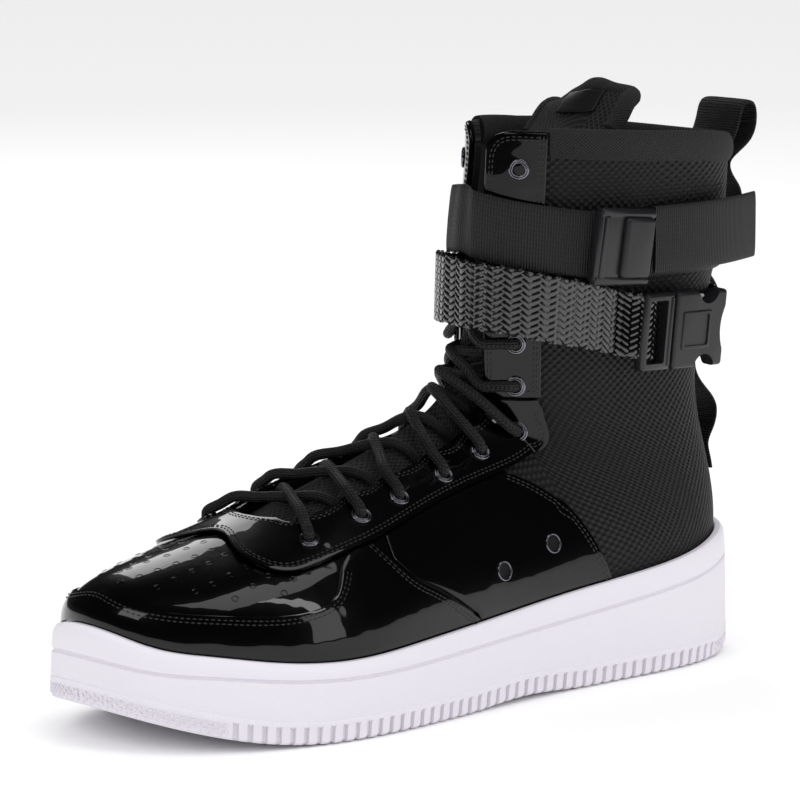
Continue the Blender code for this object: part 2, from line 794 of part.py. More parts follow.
def settle(item, name, matrix, material):
    """Name a new primitive, bake its place into its mesh and give it its material."""
    item.data.transform(matrix)
    item.name = name
    item.data.name = name
    item.data.materials.append(material)
    item.data.shade_smooth()
    item.data.set_sharp_from_angle(angle=math.radians(40))
    for group in list(item.users_collection):
        group.objects.unlink(item)
    BOOT.objects.link(item)
    return item


def build_eyelets():
    """Rolled metal rings on the eyestays and flat vents on the quarters."""
    base = EYESTAY_GAP + EYESTAY_THICKNESS + GAP + EYELET_HEIGHT / 2
    for side, letter in ((1, "outer"), (-1, "inner")):
        for number, (girth, rise) in enumerate(EYELETS, 1):
            place = girth if side > 0 else 4 - girth
            lift = base + (BEND_EYELET_LIFT[side] if number == BEND_EYELET else 0.0)
            bpy.ops.mesh.primitive_torus_add(
                major_segments=8, minor_segments=3,
                major_radius=(EYELET_RADIUS + EYELET_HOLE) / 2,
                minor_radius=(EYELET_RADIUS - EYELET_HOLE) / 2)
            ring = bpy.context.object
            squash = Matrix.Diagonal((1, 1, EYELET_HEIGHT / (EYELET_RADIUS - EYELET_HOLE), 1))
            settle(ring, f"eyelet_{letter}_{number:02d}", standing_on(place, rise, lift) @ squash, METAL)
        for number, (girth, rise) in enumerate(VENTS, 1):
            place = girth if side > 0 else 4 - girth
            bpy.ops.mesh.primitive_cylinder_add(vertices=12, radius=VENT_RADIUS, depth=EYELET_HEIGHT)
            disc = bpy.context.object
            height = OVERLAY_GAP + OVERLAY_THICKNESS + 2 * GAP + EYELET_HEIGHT / 2
            settle(disc, f"vent_{letter}_{number}", standing_on(place, rise, height), METAL)


# Middle line of the tongue's outer face: place along the throat, distance from the heel
# as a share of the sole length, height as a share of the collar's
TONGUE_RIDGE = [
    (0.40, 0.733, 0.337), (0.52, 0.705, 0.357), (0.64, 0.643, 0.394), (0.76, 0.540, 0.449),
    (0.87, 0.478, 0.490), (0.96, 0.448, 0.525), (1.05, 0.430, 0.560), (1.15, 0.417, 0.605),
    (1.28, 0.406, 0.664), (1.42, 0.399, 0.727), (1.60, 0.392, 0.800),
]
# The free top, which leans back: height from bend to peak, distance from the heel as a
# share of the sole length, half width as a share of the shaft's
TONGUE_TOP = [
    (0.565, 0.347, 0.50), (0.720, 0.303, 0.56), (0.850, 0.252, 0.58), (0.930, 0.224, 0.55),
]
TONGUE_TILT = 0.10
# Extra depth of the tongue's edges behind the eyestay where the throat bends
BEND_CLEARANCE = 0.0045


def throat_edge(side, place):
    """Point of the throat's edge. Place runs 0 at the toe to 1 at the bend, 2 at the collar."""
    if place <= 1:
        return surface(2 - side * place, 1.0)
    return shaft_surface(side, 1.0, place - 1)


def under_edge(side, place, inset, depth):
    """Point under the eyestay on the inside of the upper, a little behind the throat's edge."""
    drop = -(UPPER_WALL + depth + BEND_CLEARANCE * math.exp(-((place - 0.98) / 0.12) ** 2))
    if place <= 1:
        return lifted(2 - side * place, 1.0 - inset, drop)
    girth = 1.0 - inset if side > 0 else 3.0 + inset
    return lifted(girth, place, drop)


RIDGE_LINE = spline([r[0] for r in TONGUE_RIDGE], [r[1:] for r in TONGUE_RIDGE])


def ridge_point(place):
    """Point on the middle line of the tongue's outer face."""
    along, height = RIDGE_LINE(place)
    middle = (throat_edge(1, place) + throat_edge(-1, place)) / 2
    return np.array([middle[0], y_at(along), height * COLLAR_HEIGHT])


def tongue_front(place):
    """Unit vector out of the tongue's middle at a place along the throat."""
    along = ridge_point(place + 0.02) - ridge_point(place - 0.02)
    out = np.cross([1.0, 0.0, 0.0], along)
    return out / np.linalg.norm(out)


def tongue_section(place):
    """Outer face of the tongue across the throat, from the outer edge (-1) to the inner (1)."""
    left = under_edge(1, place, 0.13, 3 * GAP)
    left_edge = under_edge(1, place, 0.03, 6 * GAP)
    right_edge = under_edge(-1, place, 0.03, 6 * GAP)
    right = under_edge(-1, place, 0.13, 3 * GAP)
    arch = spline((-0.55, 0.0, 0.55), (left_edge, ridge_point(place), right_edge))

    def point(across):
        if across < -0.55:
            return left + (left_edge - left) * (across + 1.0) / 0.45
        if across > 0.55:
            return right + (right_edge - right) * (1.0 - across) / 0.45
        return np.array(arch(across))

    return point


def tongue_free_section(height, along, width):
    """Section of the free top: a shallow arc that leans back inside the collar."""
    half = width * SHAFT_HALF_WIDTH
    z = BEND_HEIGHT + height * (TONGUE_PEAK - BEND_HEIGHT)
    rows = []
    for across in (-1.0, -0.5, 0.0, 0.5, 1.0):
        sag = (across * across) * half * 0.30
        x = -across * half - TONGUE_TILT * SHAFT_HALF_WIDTH
        rows.append((x, y_at(along) + sag, z - across * TONGUE_TILT * half))
    return spline((-1.0, -0.5, 0.0, 0.5, 1.0), rows)


def build_tongue():
    """Padded tongue from under the vamp to its peaked top, which leans back."""
    across = [-1.0, -0.78, -0.55, -0.28, 0.0, 0.28, 0.55, 0.78, 1.0]
    rows = []
    drop = -(UPPER_WALL + 2 * GAP)
    rows.append([lifted(2 + 0.30 * a, 0.86, drop) for a in across])
    for place in (0.40, 0.52, 0.64, 0.76, 0.87, 0.96, 1.05, 1.15, 1.28, 1.42):
        section = tongue_section(place)
        rows.append([section(a) for a in across])
    for height, along, width in TONGUE_TOP:
        section = tongue_free_section(height, along, width)
        rows.append([section(a) for a in across])
    height, along, width = TONGUE_TOP[-1]
    section = tongue_free_section(1.0, along - 0.022, 0.9 * width)
    last = []
    for a in across:
        point = np.array(section(a))
        point[2] -= 0.42 * abs(a + 0.28) * (TONGUE_PEAK - BEND_HEIGHT) * 0.16
        last.append(point)
    rows.append(last)
    points = [p for row in rows for p in row]
    width = len(across)
    faces = []
    for k in range(len(rows) - 1):
        for i in range(width - 1):
            a = k * width + i
            faces.append((a, a + 1, a + width + 1, a + width))
    tongue = mesh_object("tongue", points, faces, NYLON, outward=False)
    middle = tongue.data.polygons[3 * (width - 1) + width // 2 - 1]
    if middle.normal.z < 0:
        tongue.data.flip_normals()
    add_wall(tongue, TONGUE_THICKNESS, -1)
    return tongue


LACE_CROSSINGS = 8
# How far each run goes past the middle: share of the way to the next eyelet, reach
# across the tongue, extra height over it where the next runs crowd at the bend
LACE_ENDS = [
    (0.85, 0.36, 0.0), (0.85, 0.36, 0.0), (0.85, 0.36, 0.0003), (0.85, 0.36, 0.0011),
    (0.60, 0.24, 0.0022), (0.75, 0.26, 0.0026), (0.60, 0.30, 0.0006), (0.80, 0.34, 0.0003),
]


def lace_path(side, number):
    """Route of one lace run, out of an eyelet, over the tongue, to under the far edge."""
    radius = LACE_DIAMETER / 2
    girth, rise = EYELETS[number]
    next_girth, next_rise = EYELETS[number + 1]
    start_place = 2 - girth if rise < 1 else rise
    stop_place = 2 - next_girth if next_rise < 1 else next_rise
    high = EYESTAY_GAP + EYESTAY_THICKNESS + GAP + radius
    if number + 1 == BEND_EYELET:
        high += BEND_EYELET_LIFT[side]
    elif number + 2 == BEND_EYELET:
        high += 2 * GAP
    if start_place <= 1:
        edge = lifted(2 - side * start_place, 0.97, high + GAP)
    else:
        edge = lifted(0.99 if side > 0 else 3.01, start_place, high + GAP)
    eyelet = girth if side > 0 else 4 - girth
    ring = lifted(eyelet, rise, high)
    reach = (EYELET_RADIUS + radius + GAP) / np.linalg.norm(edge - ring)
    stop_share, stop_across, extra = LACE_ENDS[number]
    over = radius + 2 * GAP + extra
    middle_place = (start_place + stop_place) / 2
    middle = ridge_point(middle_place) + tongue_front(middle_place) * over
    points = [ring + (edge - ring) * min(reach, 0.8), edge]
    for share in (0.2, 0.35):
        place = start_place + (stop_place - start_place) * share
        front = tongue_front(place)
        low = tongue_section(place)(side * (share - 0.5) * 1.1) + front * over
        straight = edge + (middle - edge) * share * 2
        lower = float(np.dot(low - straight, front))
        points.append(straight + front * max(0.0, lower))
    points.append(middle)
    for share, across in ((0.5 + 0.5 * (stop_share - 0.5), stop_across / 2), (stop_share, stop_across)):
        place = start_place + (stop_place - start_place) * share
        points.append(tongue_section(place)(side * across) + tongue_front(place) * over)
    spaced = points[:1]
    for point in points[1:]:
        if np.linalg.norm(point - spaced[-1]) > LACE_DIAMETER * 0.6:
            spaced.append(point)
    return spaced


def tube_mesh(name, points, diameter, sides):
    """Closed tube along a smooth line through the points, as a mesh object."""
    knots = [0.0]
    for a, b in zip(points, points[1:]):
        knots.append(knots[-1] + float(np.linalg.norm(b - a)))
    line = spline(knots, points)
    count = max(6, int(knots[-1] / (2.8 * diameter)))
    curve = bpy.data.curves.new(name, "CURVE")
    curve.dimensions = "3D"
    path = curve.splines.new("POLY")
    path.points.add(count)
    for i in range(count + 1):
        path.points[i].co = (*line(knots[-1] * i / count), 1.0)
    curve.bevel_depth = diameter / 2
    curve.bevel_resolution = sides
    curve.use_fill_caps = True
    rail = bpy.data.objects.new(name, curve)
    BOOT.objects.link(rail)
    bpy.context.view_layer.update()
    mesh = bpy.data.meshes.new_from_object(rail.evaluated_get(bpy.context.evaluated_depsgraph_get()))
    work = bmesh.new()
    work.from_mesh(mesh)
    bmesh.ops.remove_doubles(work, verts=work.verts, dist=1e-6)
    bmesh.ops.recalc_face_normals(work, faces=work.faces)
    work.to_mesh(mesh)
    work.free()
    made = bpy.data.objects.new(name + "_run", mesh)
    made.matrix_world = rail.matrix_world
    bpy.data.objects.remove(rail, do_unlink=True)
    BOOT.objects.link(made)
    made.name = name
    return made


def join_by_union(base, other):
    """Fuse a second closed mesh into the first."""
    fuse = base.modifiers.new("fuse", "BOOLEAN")
    fuse.operation = "UNION"
    fuse.solver = "EXACT"
    fuse.object = other
    bpy.context.view_layer.update()
    mesh = bpy.data.meshes.new_from_object(base.evaluated_get(bpy.context.evaluated_depsgraph_get()))
    base.modifiers.clear()
    base.data = mesh
    bpy.data.objects.remove(other, do_unlink=True)
    return base


def build_laces():
    """Each crossing is one solid: two runs fused where they cross on the tongue."""
    for number in range(LACE_CROSSINGS):
        name = f"lace_crossing_{number + 1}"
        first = tube_mesh(name, lace_path(1, number), LACE_DIAMETER, 1)
        second = tube_mesh(name + "_other", lace_path(-1, number), LACE_DIAMETER, 1)
        crossing = join_by_union(first, second)
        crossing.data.materials.clear()
        crossing.data.materials.append(CORD)


# Height of a strap's middle above the bend, as shares of the shaft: the angle round
# the leg runs from 0 at the back to 180 at the front, negative on the inner side
WEBBING_ROUTE = [
    (-180, 0.667), (-150, 0.638), (-90, 0.595), (-40, 0.596), (0, 0.600), (60, 0.580),
    (95, 0.572), (120, 0.587), (150, 0.622), (180, 0.667),
]
BRAID_ROUTE = [
    (-180, 0.405), (-150, 0.390), (-90, 0.318), (-40, 0.268), (0, 0.250), (40, 0.240),
    (60, 0.236), (90, 0.240), (120, 0.322), (150, 0.380), (180, 0.405),
]
STRAP_SEAT = 0.0009
WEBBING_FRONT = 0.0046
BRAID_FRONT = 0.0084


def strap_place(route, degrees, offset, front_offset, lift):
    """Point on a strap's line round the leg, raised by the lift."""
    side = 1 if degrees >= 0 else -1
    angle = math.radians(abs(degrees))
    front = max(0.0, (abs(degrees) - 100) / 80)
    front = front * front * (3 - 2 * front)
    middle = table_value(route, degrees)
    height = middle + lift / (COLLAR_HEIGHT - BEND_HEIGHT)
    eyelets = EYESTAY_THICKNESS + EYELET_HEIGHT + 2 * GAP
    rise = min(1.0, max(0.0, (abs(degrees) - 100) / 30))
    out = offset + eyelets * rise + max(0.0, front_offset - eyelets) * front
    return shaft_point(side, angle, height, out)


def strap_ring(name, route, width, thickness, front_offset, material, count=34):
    """Closed band round the leg."""
    points = []
    for i in range(count):
        degrees = -180 + 360 * i / count
        inner = STRAP_SEAT
        for out, lift in ((inner, -width / 2), (inner, width / 2),
                          (inner + thickness, width / 2), (inner + thickness, -width / 2)):
            points.append(strap_place(route, degrees, out, front_offset, lift))
    faces = []
    for i in range(count):
        j = (i + 1) % count
        for k in range(4):
            m = (k + 1) % 4
            faces.append((i * 4 + k, i * 4 + m, j * 4 + m, j * 4 + k))
    return mesh_object(name, points, faces, material)


def ribbon_body(name, path, material, width_axis, width, thickness):
    """Open band: the path is a list of points, the width runs along one axis."""
    axis = np.array(width_axis, float)
    points = []
    for i, place in enumerate(path):
        before = path[max(i - 1, 0)]
        after = path[min(i + 1, len(path) - 1)]
        along = after - before
        out = np.cross(along, axis)
        out = out / np.linalg.norm(out) * thickness / 2
        half = axis * width / 2
        points += [place - out - half, place - out + half, place + out + half, place + out - half]
    faces = [(0, 1, 2, 3)]
    for i in range(len(path) - 1):
        for k in range(4):
            m = (k + 1) % 4
            faces.append((i * 4 + k, i * 4 + m, i * 4 + 4 + m, i * 4 + 4 + k))
    last = 4 * (len(path) - 1)
    faces.append((last + 3, last + 2, last + 1, last))
    return mesh_object(name, points, faces, material)


def smooth_path(points, count):
    knots = [0.0]
    for a, b in zip(points, points[1:]):
        knots.append(knots[-1] + float(np.linalg.norm(np.subtract(b, a))))
    line = spline(knots, points)
    return [np.array(line(knots[-1] * i / count)) for i in range(count + 1)]


# Free end of the webbing behind its buckle: across as a share of the shaft's half
# width, place from the heel as a share of the sole length
TAIL = [(1.120, 0.232), (1.110, 0.160), (1.000, 0.090), (0.780, 0.015)]
# Webbing down the heel, from the loop's inner leg: place from the heel as a share of the
# sole length, height as a share of the shaft from bend (0) to collar (1)
HEEL_STRIP = [
    (0.0055, 0.745), (0.0050, 0.815), (-0.0100, 0.890), (-0.0210, 0.965), (-0.0300, 1.020),
    (-0.0420, 1.025), (-0.0500, 0.965), (-0.0420, 0.890), (-0.0150, 0.830), (-0.0035, 0.795),
    (-0.0090, 0.745), (-0.0225, 0.690), (-0.0230, 0.615), (-0.0080, 0.530), (0.0080, 0.460),
    (0.0200, 0.415), (0.0320, 0.383), (0.0250, 0.350), (0.0130, 0.280), (0.0110, 0.200),
    (0.0260, 0.115), (0.0550, 0.055), (0.0560, 0.030), (0.0400, -0.060), (0.0170, -0.150),
    (0.0210, -0.225), (0.0310, -0.290), (0.0275, -0.340), (0.0235, -0.390),
]


def shaft_height(share):
    return BEND_HEIGHT + share * (COLLAR_HEIGHT - BEND_HEIGHT)


def build_straps():
    strap_ring("top_strap", WEBBING_ROUTE, STRAP_WIDTH, STRAP_THICKNESS, WEBBING_FRONT, WEBBING)
    strap_ring("braided_strap", BRAID_ROUTE, BRAID_WIDTH, BRAID_THICKNESS, BRAID_FRONT, CORD)
    z = shaft_height(table_value(WEBBING_ROUTE, 60))
    tail = [(x * SHAFT_HALF_WIDTH, y_at(f), z) for x, f in TAIL]
    ribbon_body("top_strap_tail", smooth_path(tail, 8), WEBBING, (0, 0, 1), STRAP_WIDTH, STRAP_THICKNESS)
    strip = [(0.0, y_at(f), shaft_height(h)) for f, h in HEEL_STRIP]
    ribbon_body("heel_strip", smooth_path(strip, 46), WEBBING, (1, 0, 0), WEBBING_WIDTH, WEBBING_THICKNESS)


def buckle_frame(route, degrees, lift):
    """Matrix on the outer side of the leg: X forward along the strap, Z outwards."""
    here = strap_place(route, degrees, lift, 0.0, 0.0)
    ahead = strap_place(route, degrees + 6, lift, 0.0, 0.0)
    behind = strap_place(route, degrees - 6, lift, 0.0, 0.0)
    forward = Vector(ahead - behind).normalized()
    above = strap_place(route, degrees, lift, 0.0, STRAP_WIDTH / 2)
    below = strap_place(route, degrees, lift, 0.0, -STRAP_WIDTH / 2)
    out = Vector(above - below).cross(forward).normalized()
    if out.x < 0:
        out = -out
    up = out.cross(forward).normalized()
    turn = Matrix((forward, up, out)).transposed().to_4x4()
    return Matrix.Translation(Vector(here)) @ turn


def box_piece(name, size, centre, bevel, matrix, material):
    bpy.ops.mesh.primitive_cube_add(size=1.0)
    item = bpy.context.object
    shape = Matrix.Translation(Vector(centre)) @ Matrix.Diagonal((*size, 1.0))
    item.data.transform(shape)
    settle(item, name, Matrix.Identity(4), material)
    if bevel:
        round_off = item.modifiers.new("round", "BEVEL")
        round_off.width = bevel
        round_off.segments = 1
        round_off.limit_method = "ANGLE"
        bpy.context.view_layer.update()
        mesh = bpy.data.meshes.new_from_object(item.evaluated_get(bpy.context.evaluated_depsgraph_get()))
        item.modifiers.clear()
        item.data = mesh
    item.data.transform(matrix)
    return item


def cut_now(item, cutter):
    """Cut one piece by another at once and remove the cutter."""
    cut_with(item, cutter)
    bpy.context.view_layer.update()
    mesh = bpy.data.meshes.new_from_object(item.evaluated_get(bpy.context.evaluated_depsgraph_get()))
    item.modifiers.clear()
    item.data = mesh
    bpy.data.objects.remove(cutter, do_unlink=True)


def build_cam_buckle():
    """Cam buckle of the top strap: an open frame with a lever that closes on the webbing."""
    lift = STRAP_SEAT + STRAP_THICKNESS + 2 * GAP
    matrix = buckle_frame(WEBBING_ROUTE, 107, lift)
    thick = BUCKLE_THICKNESS
    frame = box_piece("cam_buckle_frame", (CAM_LENGTH, CAM_HEIGHT, thick), (0, 0, thick / 2),
                      0.0012, matrix, PLASTIC)
    window = box_piece("window", (CAM_LENGTH * 0.60, STRAP_WIDTH + 2 * GAP, 2 * thick),
                       (-CAM_LENGTH * 0.10, 0, thick), 0, matrix, PLASTIC)
    cut_now(frame, window)
    box_piece("cam_buckle_lever", (CAM_LENGTH * 0.60 - 4 * GAP, STRAP_WIDTH - 2 * GAP, thick * 0.75),
              (-CAM_LENGTH * 0.10, 0, thick * 0.80), 0.0015, matrix, PLASTIC)


def build_release_buckle():
    """Side-release buckle of the braided strap: a ladder frame and a socket with notches."""
    lift = STRAP_SEAT + BRAID_THICKNESS + 2 * GAP
    matrix = buckle_frame(BRAID_ROUTE, 82, lift)
    thick = BUCKLE_THICKNESS
    frame_length = RELEASE_LENGTH * 0.36
    socket_length = RELEASE_LENGTH - frame_length - GAP
    high = RELEASE_HEIGHT
    frame = box_piece("release_buckle_frame", (frame_length, high, thick * 0.8),
                      (RELEASE_LENGTH / 2 - frame_length / 2, 0, thick * 0.4), 0.0012, matrix, PLASTIC)
    window = box_piece("window", (frame_length * 0.50, high * 0.72, 2 * thick),
                       (RELEASE_LENGTH / 2 - frame_length / 2, 0, 0), 0, matrix, PLASTIC)
    cut_now(frame, window)
    centre = -RELEASE_LENGTH / 2 + socket_length / 2
    socket = box_piece("release_buckle_socket", (socket_length, high, thick), (centre, 0, thick / 2),
                       0.0014, matrix, PLASTIC)
    for end in (1, -1):
        bpy.ops.mesh.primitive_cylinder_add(vertices=16, radius=high * 0.20, depth=4 * thick)
        notch = bpy.context.object
        place = Matrix.Translation((centre - socket_length * 0.12, end * high * 0.53, 0))
        settle(notch, "notch", matrix @ place, PLASTIC)
        cut_now(socket, notch)


def build_all():
    sole = build_sole()
    cut_with(sole, cutter_object("slot_cutter", side_slots()))
    cut_with(sole, cutter_object("tread_cutter", tread_grooves()))
    build_insole()
    build_upper()
    build_tongue()
    build_overlays()
    build_eyelets()
    build_laces()
    build_straps()
    build_cam_buckle()
    build_release_buckle()


build_all()
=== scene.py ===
"""The looks of a left high-top boot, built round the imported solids.

Metres, +Z up, toe towards -Y, the outer side of the foot towards +X. Pieces are laid on
the same form as the solids, so every seam, eyelet and strap sits on what carries it.
"""
import functools
import math

import bmesh
import bpy
import numpy as np
from mathutils import Matrix, Vector


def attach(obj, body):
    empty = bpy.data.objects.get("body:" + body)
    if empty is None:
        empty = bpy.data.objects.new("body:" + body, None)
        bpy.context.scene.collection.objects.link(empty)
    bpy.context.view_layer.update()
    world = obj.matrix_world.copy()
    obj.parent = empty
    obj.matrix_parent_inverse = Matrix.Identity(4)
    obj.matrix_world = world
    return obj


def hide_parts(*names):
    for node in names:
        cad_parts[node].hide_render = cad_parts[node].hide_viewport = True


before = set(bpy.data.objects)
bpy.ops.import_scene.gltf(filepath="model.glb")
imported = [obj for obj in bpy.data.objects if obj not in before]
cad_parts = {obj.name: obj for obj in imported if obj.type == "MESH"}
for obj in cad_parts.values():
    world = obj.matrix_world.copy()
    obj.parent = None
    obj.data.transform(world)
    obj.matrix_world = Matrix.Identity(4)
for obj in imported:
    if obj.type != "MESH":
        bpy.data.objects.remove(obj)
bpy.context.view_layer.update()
BODY = "root"

# Sole sizes
SOLE_LENGTH = 0.300
BALL_HALF_WIDTH = 0.055
HEEL_BEHIND_ORIGIN = 0.045
RIM_HEIGHT = 0.030
RIM_THICKNESS = 0.005
TOE_SPRING = 0.014
HEEL_BEVEL = 0.005
ARCH_RISE = 0.0015
BALL_FLOOR = 0.012
HEEL_FLOOR = 0.021
SLOT_HEIGHT = 0.0065
SLOT_WIDTH = 0.0020
SLOT_DEPTH = 0.0013
SLOT_PITCH = 0.0052
GROOVE_DEPTH = 0.0010
TREAD_DEPTH = 0.0015
TREAD_WIDTH = 0.0030
TREAD_PITCH = 0.0130

# Upper sizes
UPPER_WALL = 0.0022
BEND_HEIGHT = 0.107
COLLAR_HEIGHT = 0.206
COLLAR_FALL = 0.009
SHAFT_HALF_WIDTH = 0.039
LATERAL_FLAP_X = 0.009
MEDIAL_FLAP_X = 0.012
INSOLE_THICKNESS = 0.004
OVERLAY_THICKNESS = 0.0010
EYESTAY_THICKNESS = 0.0015
TONGUE_THICKNESS = 0.0050
TONGUE_PEAK = 0.220

# Trim sizes
EYELET_RADIUS = 0.0042
EYELET_HOLE = 0.0025
EYELET_HEIGHT = 0.0011
VENT_RADIUS = 0.0038
LACE_DIAMETER = 0.0040
STRAP_WIDTH = 0.0250
STRAP_THICKNESS = 0.0016
BRAID_WIDTH = 0.0250
BRAID_THICKNESS = 0.0028
WEBBING_WIDTH = 0.0240
WEBBING_THICKNESS = 0.0016
CAM_LENGTH = 0.0280
CAM_HEIGHT = 0.0290
RELEASE_LENGTH = 0.0440
RELEASE_HEIGHT = 0.0290
BUCKLE_THICKNESS = 0.0060
GAP = 0.0003
OVERLAY_GAP = 0.0004
EYESTAY_GAP = 0.0007

# Sole outline: share of the length from the heel, outer and inner half
# widths as shares of the half ball width
OUTLINE = [
    # along, outer, inner
    (0.00, 0.000, 0.000),
    (0.03, 0.400, 0.400),
    (0.08, 0.618, 0.618),
    (0.15, 0.736, 0.727),
    (0.25, 0.773, 0.745),
    (0.35, 0.791, 0.727),
    (0.45, 0.836, 0.745),
    (0.55, 0.909, 0.800),
    (0.65, 0.982, 0.891),
    (0.72, 1.000, 0.945),
    (0.80, 0.945, 0.973),
    (0.88, 0.791, 0.909),
    (0.94, 0.564, 0.764),
    (0.98, 0.291, 0.527),
    (1.00, -0.109, 0.109),
]

# Sole side: share of the length, rim height and rim band as shares of the rim height at the ball
SIDE = [
    # along, rim top, rim band
    (0.00, 1.640, 0.33),
    (0.06, 1.570, 0.33),
    (0.12, 1.460, 0.32),
    (0.20, 1.350, 0.31),
    (0.35, 1.220, 0.31),
    (0.50, 1.090, 0.27),
    (0.62, 1.010, 0.24),
    (0.74, 0.950, 0.20),
    (0.84, 1.020, 0.21),
    (0.92, 1.140, 0.24),
    (0.97, 1.250, 0.29),
    (1.00, 1.420, 0.36),
]

# Shaft: share of the way from bend to collar; back, outer front and inner front
# as shares of the sole length from the heel; half width as a share of the shaft's
SHAFT = [
    # height, back, outer front, inner front, half width
    (0.00, 0.0615, 0.412, 0.400, 0.860),
    (0.20, 0.0560, 0.412, 0.398, 0.880),
    (0.40, 0.0370, 0.412, 0.393, 0.925),
    (0.60, 0.0190, 0.412, 0.386, 0.970),
    (0.80, 0.0115, 0.410, 0.374, 1.000),
    (1.00, 0.0100, 0.406, 0.368, 1.020),
]
SHAFT_CENTRE = 0.210
SHAFT_ROUNDNESS = 0.87
INNER_FRONT_ROUNDNESS = 1.05

# Ribs from the sole's rim to the throat: side, share of the length at the rim, throat
# point as shares of the half ball width, sole length and bend height, then the
# rib's rise at the rim, its reach at the throat and its drop there
RIBS = [
    # side, along, throat x, throat along, throat height, rise, reach, drop
    (+1, 0.43, 0.200, 0.453, 0.893, 0.42, 0.42, 0.14),
    (+1, 0.53, 0.255, 0.520, 0.830, 0.46, 0.47, 0.11),
    (+1, 0.61, 0.291, 0.590, 0.779, 0.50, 0.52, 0.12),
    (+1, 0.68, 0.309, 0.657, 0.732, 0.52, 0.52, 0.14),
    (+1, 0.76, 0.273, 0.707, 0.690, 0.55, 0.52, 0.19),
    (+1, 0.88, 0.150, 0.737, 0.671, 0.58, 0.52, 0.29),
    (+1, 1.00, -0.055, 0.747, 0.668, 0.60, 0.50, 0.38),
    (-1, 0.88, -0.260, 0.737, 0.671, 0.58, 0.52, 0.29),
    (-1, 0.76, -0.345, 0.707, 0.690, 0.55, 0.52, 0.19),
    (-1, 0.68, -0.364, 0.657, 0.732, 0.52, 0.52, 0.14),
    (-1, 0.61, -0.345, 0.590, 0.779, 0.50, 0.52, 0.12),
    (-1, 0.53, -0.309, 0.520, 0.830, 0.46, 0.47, 0.11),
    (-1, 0.43, -0.265, 0.448, 0.893, 0.42, 0.42, 0.14),
]
BEND_ALONG = 0.33
BEND_RIB = (0.40, 0.40, 0.20)
SHAFT_RIB = (0.36, 0.00, 0.33)
RIM_BULGE = 0.0015


def spline(knots, rows):
    """Natural cubic through the rows, as a function of the knot value."""
    knots = np.asarray(knots, float)
    rows = np.asarray(rows, float)
    if rows.ndim == 1:
        rows = rows[:, None]
    count = len(knots)
    step = np.diff(knots)
    system = np.zeros((count, count))
    right = np.zeros_like(rows)
    system[0, 0] = 1.0
    system[-1, -1] = 1.0
    for i in range(1, count - 1):
        system[i, i - 1] = step[i - 1]
        system[i, i] = 2 * (step[i - 1] + step[i])
        system[i, i + 1] = step[i]
        right[i] = 6 * ((rows[i + 1] - rows[i]) / step[i] - (rows[i] - rows[i - 1]) / step[i - 1])
    bend = np.linalg.solve(system, right)

    def value(x):
        i = int(np.clip(np.searchsorted(knots, x) - 1, 0, count - 2))
        h = step[i]
        a = (knots[i + 1] - x) / h
        b = (x - knots[i]) / h
        curve = ((a ** 3 - a) * bend[i] + (b ** 3 - b) * bend[i + 1]) * h * h / 6
        result = a * rows[i] + b * rows[i + 1] + curve
        return result if len(result) > 1 else float(result[0])

    return value


def turn_of(along):
    """Angle round the sole outline at a share of its length, 0 at the heel, pi at the toe."""
    return math.acos(1 - 2 * along)


def along_of(turn):
    return (1 - math.cos(turn)) / 2


def outline_spline():
    outer = [(turn_of(a), o) for a, o, _ in OUTLINE]
    inner = [(2 * math.pi - turn_of(a), -i) for a, _, i in OUTLINE[-2:0:-1]]
    loop = outer + inner
    before = [(t - 2 * math.pi, x) for t, x in loop[-4:]]
    after = [(t + 2 * math.pi, x) for t, x in loop[:4]]
    table = before + loop + after
    return spline([t for t, _ in table], [x for _, x in table])


OUTLINE_X = outline_spline()
SIDE_HEIGHTS = spline([r[0] for r in SIDE], [r[1:] for r in SIDE])
SHAFT_SIZES = spline([r[0] for r in SHAFT], [r[1:] for r in SHAFT])


def y_at(along):
    return HEEL_BEHIND_ORIGIN - along * SOLE_LENGTH


def outline_point(turn, inset=0.0):
    """Point of the sole outline moved inwards by the inset, with its outward normal."""
    def place(t):
        return np.array([OUTLINE_X(t % (2 * math.pi)) * BALL_HALF_WIDTH, y_at(along_of(t))])
    step = 1e-3
    tangent = place(turn + step) - place(turn - step)
    normal = np.array([-tangent[1], tangent[0]]) / np.linalg.norm(tangent)
    return place(turn) - normal * inset, normal


def bottom_height(along):
    """Floor side of the sole: bevelled heel, raised arch and toe spring."""
    if along < 0.10:
        return HEEL_BEVEL * ((0.10 - along) / 0.10) ** 2
    if 0.32 < along < 0.56:
        return ARCH_RISE * math.sin(math.pi * (along - 0.32) / 0.24) ** 2
    if along > 0.76:
        return TOE_SPRING * ((along - 0.76) / 0.24) ** 2
    return 0.0


def rim_height(along):
    return RIM_HEIGHT * SIDE_HEIGHTS(along)[0]


def groove_height(along):
    return RIM_HEIGHT * (SIDE_HEIGHTS(along)[0] - SIDE_HEIGHTS(along)[1])


def cup_floor(along):
    """Upper face of the sole inside its rim, falling from heel to ball."""
    slope = min(max((along - 0.20) / 0.45, 0.0), 1.0)
    slope = slope * slope * (3 - 2 * slope)
    return HEEL_FLOOR + (BALL_FLOOR - HEEL_FLOOR) * slope + bottom_height(max(along, 0.60))


def flap_angle(side, half_width):
    flap = LATERAL_FLAP_X if side > 0 else MEDIAL_FLAP_X
    roundness = SHAFT_ROUNDNESS if side > 0 else INNER_FRONT_ROUNDNESS
    return math.pi - math.asin((flap / half_width) ** (1 / roundness))


